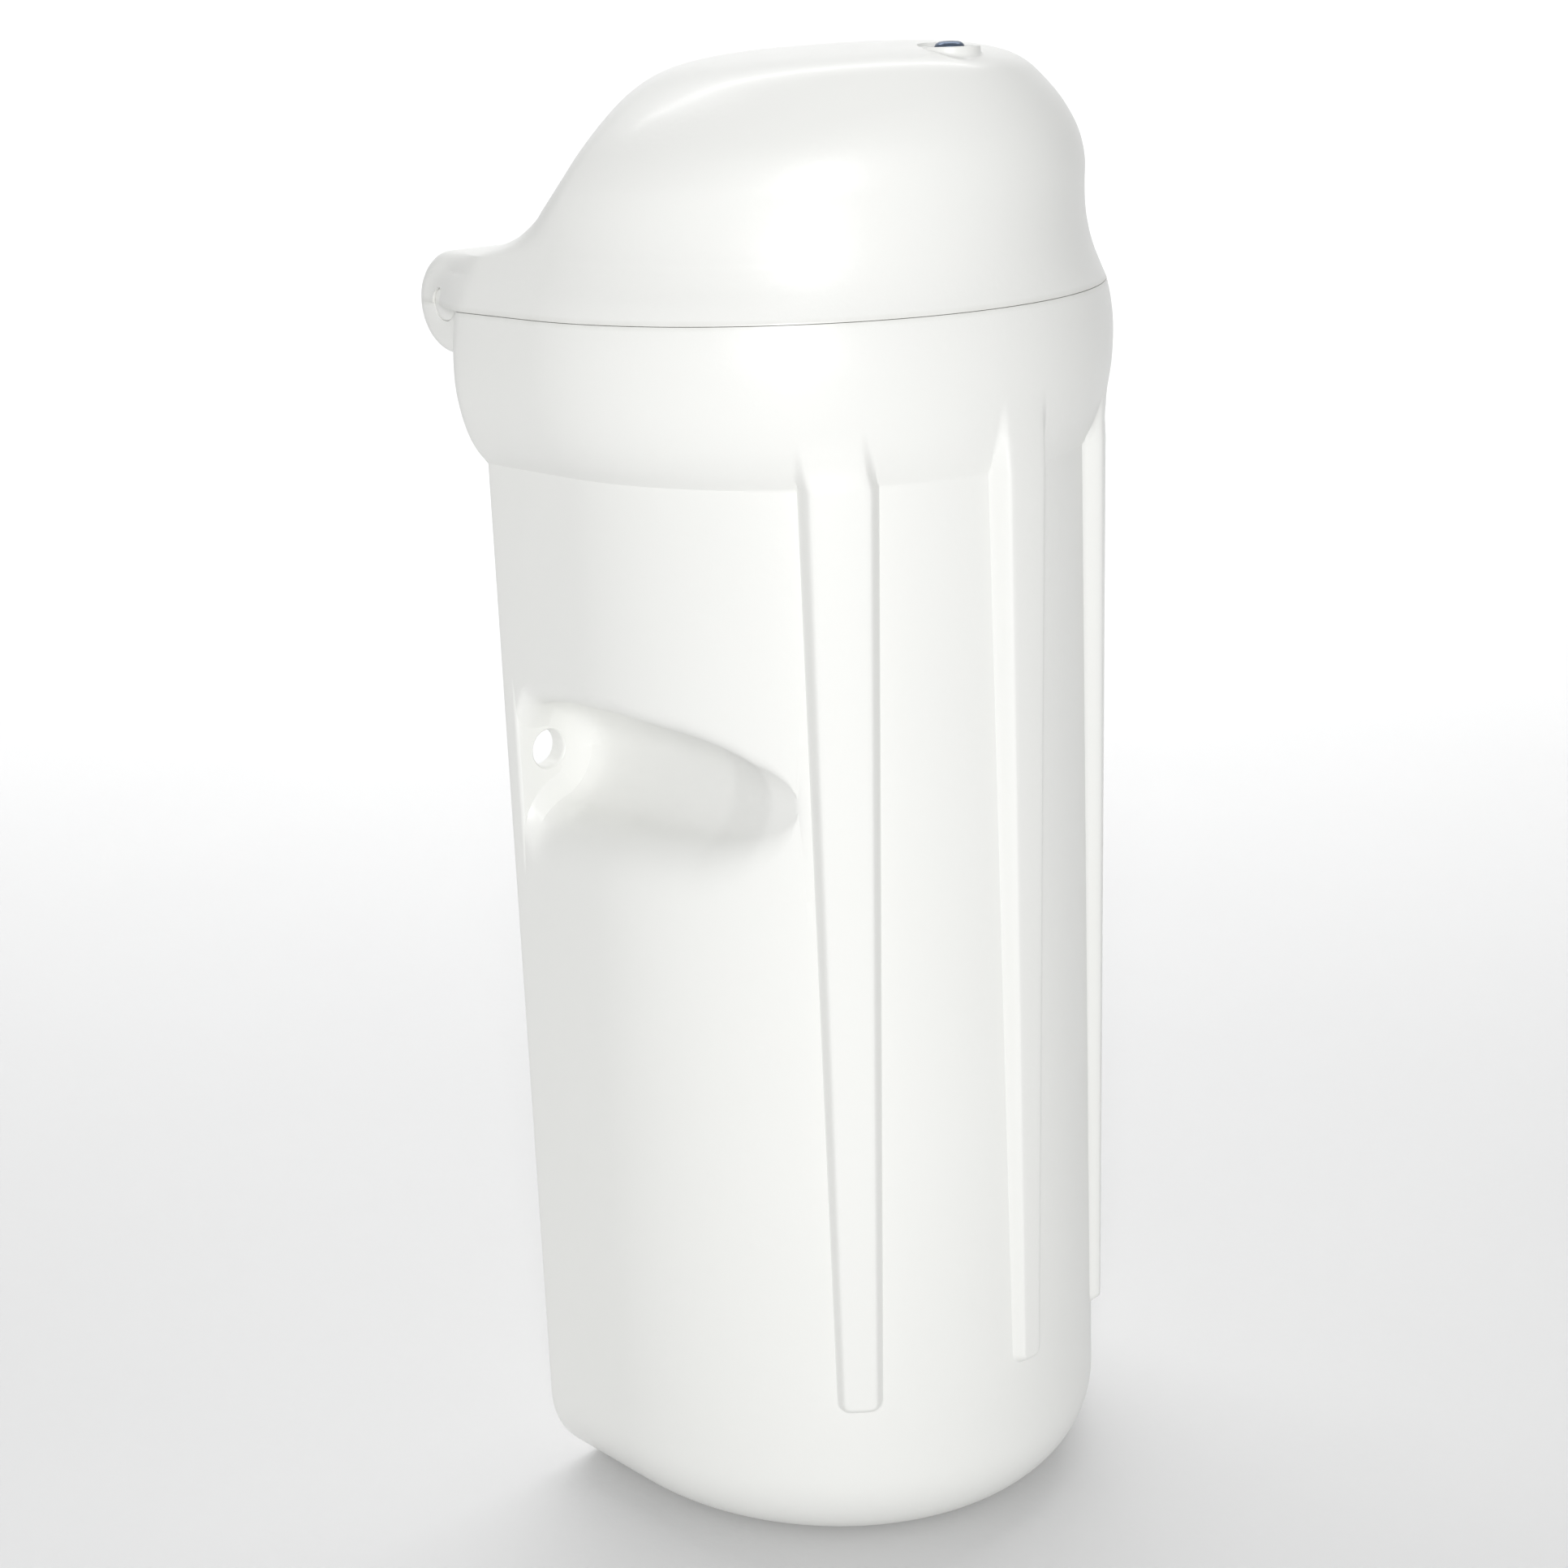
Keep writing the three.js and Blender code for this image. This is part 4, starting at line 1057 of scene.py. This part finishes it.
# ---- materials ----
class Look:
    """A Principled material with short ways to add procedural detail. Lengths are metres."""

    def __init__(self, name, color, roughness, metallic=0.0):
        self.material = bpy.data.materials.new(name)
        self.material.use_nodes = True
        self.tree = self.material.node_tree
        self.shader = self.tree.nodes["Principled BSDF"]
        self.shader.inputs["Base Color"].default_value = (*color, 1)
        self.shader.inputs["Roughness"].default_value = roughness
        self.shader.inputs["Metallic"].default_value = metallic
        self.place = self.tree.nodes.new("ShaderNodeTexCoord")
        self.height = None

    def join(self, source, target):
        self.tree.links.new(source, target)

    def node(self, kind, **settings):
        node = self.tree.nodes.new(kind)
        for key, value in settings.items():
            setattr(node, key, value)
        return node

    def math(self, operation, first, second=None):
        node = self.node("ShaderNodeMath", operation=operation)
        for socket, value in zip(node.inputs, (first, second)):
            if isinstance(value, (int, float)):
                socket.default_value = value
            elif value is not None:
                self.join(value, socket)
        return node.outputs[0]

    def coords(self, stretch=(1, 1, 1), flat=False):
        mapping = self.node("ShaderNodeMapping")
        mapping.inputs["Scale"].default_value = stretch
        self.join(self.place.outputs["UV" if flat else "Object"], mapping.inputs["Vector"])
        return mapping.outputs[0]

    def noise(self, size, detail=2.0, stretch=(1, 1, 1), flat=False):
        """Noise from 0 to 1 with features of about that size."""
        node = self.node("ShaderNodeTexNoise")
        node.inputs["Scale"].default_value = 1 / size
        node.inputs["Detail"].default_value = detail
        self.join(self.coords(stretch, flat), node.inputs["Vector"])
        return node.outputs["Fac"]

    def span(self, value, low, high, to_low, to_high):
        node = self.node("ShaderNodeMapRange")
        keys = ("From Min", "From Max", "To Min", "To Max")
        for key, number in zip(keys, (low, high, to_low, to_high)):
            node.inputs[key].default_value = number
        self.join(value, node.inputs["Value"])
        return node.outputs[0]

    def blend(self, share, first, second):
        """A colour between two, each a tuple or a socket."""
        node = self.node("ShaderNodeMix", data_type="RGBA")
        self.join(share, node.inputs["Factor"])
        for socket, value in ((node.inputs[6], first), (node.inputs[7], second)):
            if isinstance(value, tuple):
                socket.default_value = (*value, 1)
            else:
                self.join(value, socket)
        return node.outputs[2]

    def color(self, socket):
        self.join(socket, self.shader.inputs["Base Color"])

    def rough(self, socket):
        self.join(socket, self.shader.inputs["Roughness"])

    def bump(self, height, depth, strength=1.0):
        """Adds relief of that depth on top of what is there."""
        node = self.node("ShaderNodeBump")
        node.inputs["Distance"].default_value = depth
        node.inputs["Strength"].default_value = strength
        self.join(height, node.inputs["Height"])
        if self.height is not None:
            self.join(self.height, node.inputs["Normal"])
        self.height = node.outputs[0]
        self.join(self.height, self.shader.inputs["Normal"])


def shell_plastic(name, seam_below):
    """Glossy off-white moulding: faint clouding, orange peel, a few specks, and a grey line of painted shade
    along the parting edge, broken up with noise.
    """
    look = Look(name, (0.8, 0.82, 0.79), 0.25)
    base = look.blend(look.noise(0.06, 1), (0.822, 0.825, 0.8), (0.835, 0.837, 0.815))
    cells = look.node("ShaderNodeTexVoronoi")
    cells.inputs["Scale"].default_value = 24.0
    look.join(look.coords(), cells.inputs["Vector"])
    speck = look.span(cells.outputs["Distance"], 0.006, 0.014, 1, 0)
    chosen = look.math("GREATER_THAN", look.noise(0.03, 0), 0.6)
    specked = look.blend(look.math("MULTIPLY", speck, chosen), base, (0.16, 0.15, 0.13))
    split = look.node("ShaderNodeSeparateXYZ")
    look.join(look.place.outputs["Object"], split.inputs[0])
    # A grey band within about a millimetre of the parting line: painted shade of the gap between lid and
    # body, broken up with noise.
    level = (SEAM_Z + (0.0 if seam_below else GAP)) * MM
    away = look.math("ABSOLUTE", look.math("SUBTRACT", split.outputs["Z"], level))
    tinted = look.math("MULTIPLY", look.span(away, 0.0001, 0.0012, 0.4, 0.0), look.noise(0.006, 4))
    look.color(look.blend(tinted, specked, (0.55, 0.55, 0.5)))
    look.rough(look.span(look.noise(0.012, 3), 0.0, 1.0, 0.32, 0.4))
    look.shader.inputs["Coat Weight"].default_value = 0.08
    look.shader.inputs["Coat Roughness"].default_value = 0.12
    look.bump(look.noise(0.0016, 2), 0.00003)
    look.bump(look.noise(0.03, 1), 0.00008)
    return look.material


def metal(name, dark, light, roughness, grain):
    """Metal with a patchy finish and fine scratches along grain."""
    look = Look(name, light, roughness, 1.0)
    patch = look.span(look.noise(0.0035, 5), 0.3, 0.7, 0, 1)
    look.color(look.blend(patch, dark, light))
    scratch = look.noise(0.0006, 3, grain)
    look.rough(look.span(scratch, 0.3, 0.7, roughness - 0.08, roughness + 0.12))
    look.bump(scratch, 0.00002, 0.6)
    return look.material


def rubber():
    look = Look("gasket_rubber", (0.02, 0.021, 0.023), 0.75)
    dust = look.span(look.noise(0.008, 5), 0.45, 0.75, 0, 0.35)
    look.color(look.blend(dust, (0.017, 0.018, 0.02), (0.07, 0.068, 0.062)))
    look.rough(look.span(look.noise(0.003, 3), 0.3, 0.7, 0.65, 0.85))
    look.bump(look.noise(0.0004, 2), 0.00004)
    return look.material


def weave(look, pitch):
    """Plain weave from the flat position: height from 0 to 1, and which thread lies on top."""
    split = look.node("ShaderNodeSeparateXYZ")
    look.join(look.coords((1, 1, 1), flat=True), split.inputs[0])
    waves = [look.math("SINE", look.math("MULTIPLY", split.outputs[k], math.pi / pitch))
             for k in ("X", "Y")]
    over = look.math("MULTIPLY", *waves)
    warp = look.math("GREATER_THAN", over, 0.0)
    crowns = look.math("POWER", look.math("ABSOLUTE", over), 0.5)
    return crowns, warp


def glass_cloth():
    """Off-white woven glass fibre with a soft silky sheen, slubs and fuzz."""
    look = Look("glass_cloth_weave", (0.72, 0.69, 0.6), 0.7)
    crowns, warp = weave(look, 0.0011)
    tone = look.blend(warp, (0.71, 0.68, 0.6), (0.64, 0.61, 0.53))
    slub = look.span(look.noise(0.004, 4, (0.12, 1, 1), flat=True), 0.35, 0.7, 0, 0.5)
    aged = look.blend(slub, tone, (0.8, 0.775, 0.7))
    shade = look.span(crowns, 0.0, 0.5, 0.45, 0.0)
    look.color(look.blend(shade, aged, (0.36, 0.34, 0.29)))
    look.rough(look.span(look.noise(0.001, 3), 0.3, 0.7, 0.55, 0.8))
    look.shader.inputs["Sheen Weight"].default_value = 0.3
    look.bump(crowns, 0.0003)
    look.bump(look.noise(0.0005, 4), 0.0001, 0.5)
    return look.material


def webbing():
    """Dark strap: ribs across it in a herringbone, with a slightly worn top."""
    look = Look("strap_webbing", (0.03, 0.031, 0.034), 0.75)
    split = look.node("ShaderNodeSeparateXYZ")
    look.join(look.coords((1, 1, 1), flat=True), split.inputs[0])
    chevron = look.math("PINGPONG", split.outputs["Y"], 0.0042)
    slant = look.math("ADD", split.outputs["X"], chevron)
    ribs = look.math("ABSOLUTE", look.math("SINE", look.math("MULTIPLY", slant, math.pi / 0.0013)))
    # The rib crowns are painted lighter and the grooves darker: painted shade in the grooves of the weave.
    tone = look.blend(ribs, (0.012, 0.012, 0.014), (0.05, 0.051, 0.056))
    tinted = look.span(look.noise(0.006, 5), 0.5, 0.8, 0, 0.5)
    look.color(look.blend(tinted, tone, (0.11, 0.11, 0.115)))
    look.rough(look.span(look.noise(0.0008, 3), 0.3, 0.7, 0.6, 0.85))
    look.shader.inputs["Sheen Weight"].default_value = 0.25
    look.bump(ribs, 0.00035)
    look.bump(look.noise(0.0003, 3), 0.00006, 0.5)
    return look.material


def sewing_thread():
    look = Look("sewing_thread", (0.62, 0.6, 0.55), 0.6)
    twist = look.noise(0.0005, 2, (1, 1, 3))
    look.color(look.blend(twist, (0.42, 0.4, 0.36), (0.7, 0.68, 0.62)))
    look.bump(twist, 0.00005)
    return look.material


# ---- build ----
body_plastic = shell_plastic("gloss_plastic_body", True)
lid_plastic = shell_plastic("gloss_plastic_lid", False)
zinc = metal("zinc_plate", (0.48, 0.5, 0.52), (0.66, 0.68, 0.7), 0.34, (1, 1, 0.2))
blued = metal("blued_steel", (0.07, 0.1, 0.15), (0.16, 0.2, 0.27), 0.36, (1, 1, 0.3))
spring = metal("spring_steel", (0.5, 0.51, 0.52), (0.68, 0.68, 0.67), 0.28, (4, 0.3, 0.3))
seal = rubber()
cloth = glass_cloth()
strap_cloth = webbing()
thread = sewing_thread()


def place(obj, look, node, rider, finish):
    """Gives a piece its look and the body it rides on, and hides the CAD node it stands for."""
    obj.data.materials.clear()
    obj.data.materials.append(look)
    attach(obj, rider)
    if node:
        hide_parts(node)
    return obj


RIVET_X = 7.0
CLEAR = 2.25                    # bore round the lid bolt
# Radius, underside, top and edge rounding of what is on the bolt.
OUTER_WASHER = (4.6, 381.8, 382.6, 0.2)
SLEEVE = (2.95, 374.2, 381.3, 0.12)
INNER_WASHER = (4.5, 371.2, 372.0, 0.2)
NUT_FLATS = 6.9
NUT_LOW = 368.2
NUT_TOP = 370.9

place(canister_body(), body_plastic, "canister_body", "canister", "shell")
place(lid_shell(), lid_plastic, "lid_shell", "lid", "shell")
place(pin(), zinc, "hinge_pin", "canister", "steel")
place(gasket(), seal, "rim_gasket", "canister", "seal_rubber")
for side, label in ((-1, "left"), (1, "right")):
    place(pin_cap("pin_cap_domed_" + label, side), lid_plastic, "pin_cap_" + label, "lid", "shell")
    place(rivet("keeper_rivet_domed_" + label, side * RIVET_X), zinc,
          "keeper_rivet_" + label, "canister", "steel")

place(bolt(), blued, "lid_bolt", "lid", "blued_steel")
place(turned_ring("washer_outer", CLEAR, *OUTER_WASHER), zinc, "bolt_washer_outer", "lid", "steel")
place(turned_ring("sleeve", CLEAR, *SLEEVE), zinc, "bolt_sleeve", "lid", "steel")
place(turned_ring("washer_inner", CLEAR, *INNER_WASHER), zinc, "bolt_washer_inner", "lid", "steel")
place(hex_nut("nut", NUT_FLATS, CLEAR, NUT_LOW, NUT_TOP), zinc, "bolt_nut", "lid", "steel")
for name in ("catch_spring", "catch_keeper"):
    for material_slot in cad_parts[name].material_slots:
        material_slot.material = spring

blanket, blanket_flat = folded_blanket()
place(blanket, cloth, "fire_blanket", "blanket", "glass_cloth")
for side, label in ((-1, "left"), (1, "right")):
    place(pull_tape("pull_tape_strap_" + label, side * TAPE_X), strap_cloth,
          "pull_tape_" + label, "blanket", "webbing")
    patch, sewn = tape_patch("tape_patch_sewn_" + label, side * TAPE_X)
    place(patch, cloth, "tape_patch_" + label, "blanket", "glass_cloth")
    place(sewn, thread, None, "blanket", "glass_cloth")


# ---- camera, floor and light ----
LENS = 62.58
CAMERA_AT = (-472.33, -524.09, 403.89)
CAMERA_RIGHT = Vector((0.73979, -0.67183, -0.03675))
CAMERA_UP = Vector((0.21986, 0.18975, 0.95690))

camera_data = bpy.data.cameras.new("camera")
camera_data.lens = LENS
camera_data.sensor_width = 36.0
camera_data.clip_start = 0.01
camera = bpy.data.objects.new("camera", camera_data)
bpy.context.scene.collection.objects.link(camera)
back_axis = CAMERA_RIGHT.cross(CAMERA_UP)
turn = Matrix((CAMERA_RIGHT, CAMERA_UP, back_axis)).transposed().to_4x4()
camera.matrix_world = Matrix.Translation(Vector(CAMERA_AT) * MM) @ turn
bpy.context.scene.camera = camera


def area_light(name, at, toward, size, watts):
    data = bpy.data.lights.new(name, "AREA")
    data.shape = "RECTANGLE"
    data.size, data.size_y = size
    data.energy = watts
    light = bpy.data.objects.new(name, data)
    bpy.context.scene.collection.objects.link(light)
    at, toward = Vector(at), Vector(toward)
    light.location = at
    light.rotation_mode = "QUATERNION"
    light.rotation_quaternion = (at - toward).to_track_quat("Z", "Y")


# A floor that sweeps up into a backdrop well behind the object, square to the camera.
FLOOR_HALF = 3.0
SWEEP_START = 1.5
SWEEP_RADIUS = 0.8
SWEEP_TOP = 3.0
SWEEP_STEPS = 17
sweep = [(-FLOOR_HALF, 0.0)]
for a in np.linspace(0, math.pi / 2, SWEEP_STEPS):
    sweep.append((SWEEP_START + SWEEP_RADIUS * math.sin(a), SWEEP_RADIUS * (1 - math.cos(a))))
sweep.append((SWEEP_START + SWEEP_RADIUS, SWEEP_TOP))
ahead = Vector((-back_axis.x, -back_axis.y, 0)).normalized()
across = Vector((ahead.y, -ahead.x, 0))
floor_points = [tuple(ahead * d + across * side + Vector((0, 0, h)))
                for d, h in sweep for side in (-FLOOR_HALF, FLOOR_HALF)]
floor_faces = [(2 * k, 2 * k + 1, 2 * k + 3, 2 * k + 2) for k in range(len(sweep) - 1)]
floor_mesh = bpy.data.meshes.new("floor")
floor_mesh.from_pydata(floor_points, [], floor_faces)
floor_mesh.polygons.foreach_set("use_smooth", [True] * len(floor_faces))
floor = bpy.data.objects.new("floor", floor_mesh)
bpy.context.scene.collection.objects.link(floor)
floor_look = Look("floor_paint", (0.72, 0.72, 0.72), 0.6)
floor_look.color(floor_look.blend(floor_look.noise(0.15, 4), (0.71, 0.71, 0.71), (0.73, 0.73, 0.73)))
floor_look.bump(floor_look.noise(0.004, 3), 0.0001)
floor.data.materials.append(floor_look.material)

SKY_COLOR = (0.97, 0.975, 0.98, 1)
SKY_STRENGTH = 0.475
world = bpy.data.worlds.new("world")
bpy.context.scene.world = world
world.use_nodes = True
world.node_tree.nodes["Background"].inputs["Color"].default_value = SKY_COLOR
world.node_tree.nodes["Background"].inputs["Strength"].default_value = SKY_STRENGTH
bpy.context.scene.view_settings.view_transform = "Standard"

KEY_AT = (-0.77, -0.85, 0.52)
KEY_TOWARD = (0, 0, 0.28)
KEY_SIZE = (0.2, 0.42)
KEY_WATTS = 7.6
BACKDROP_SIZE = (2.4, 0.5)
BACKDROP_WATTS = 50
area_light("key", KEY_AT, KEY_TOWARD, KEY_SIZE, KEY_WATTS)
# Over the floor behind the object, aimed at the foot of the backdrop.
over_floor = ahead * 0.9 + Vector((0, 0, 1.9))
backdrop_foot = ahead * (SWEEP_START + SWEEP_RADIUS) + Vector((0, 0, 0.3))
area_light("backdrop", over_floor, backdrop_foot, BACKDROP_SIZE, BACKDROP_WATTS)
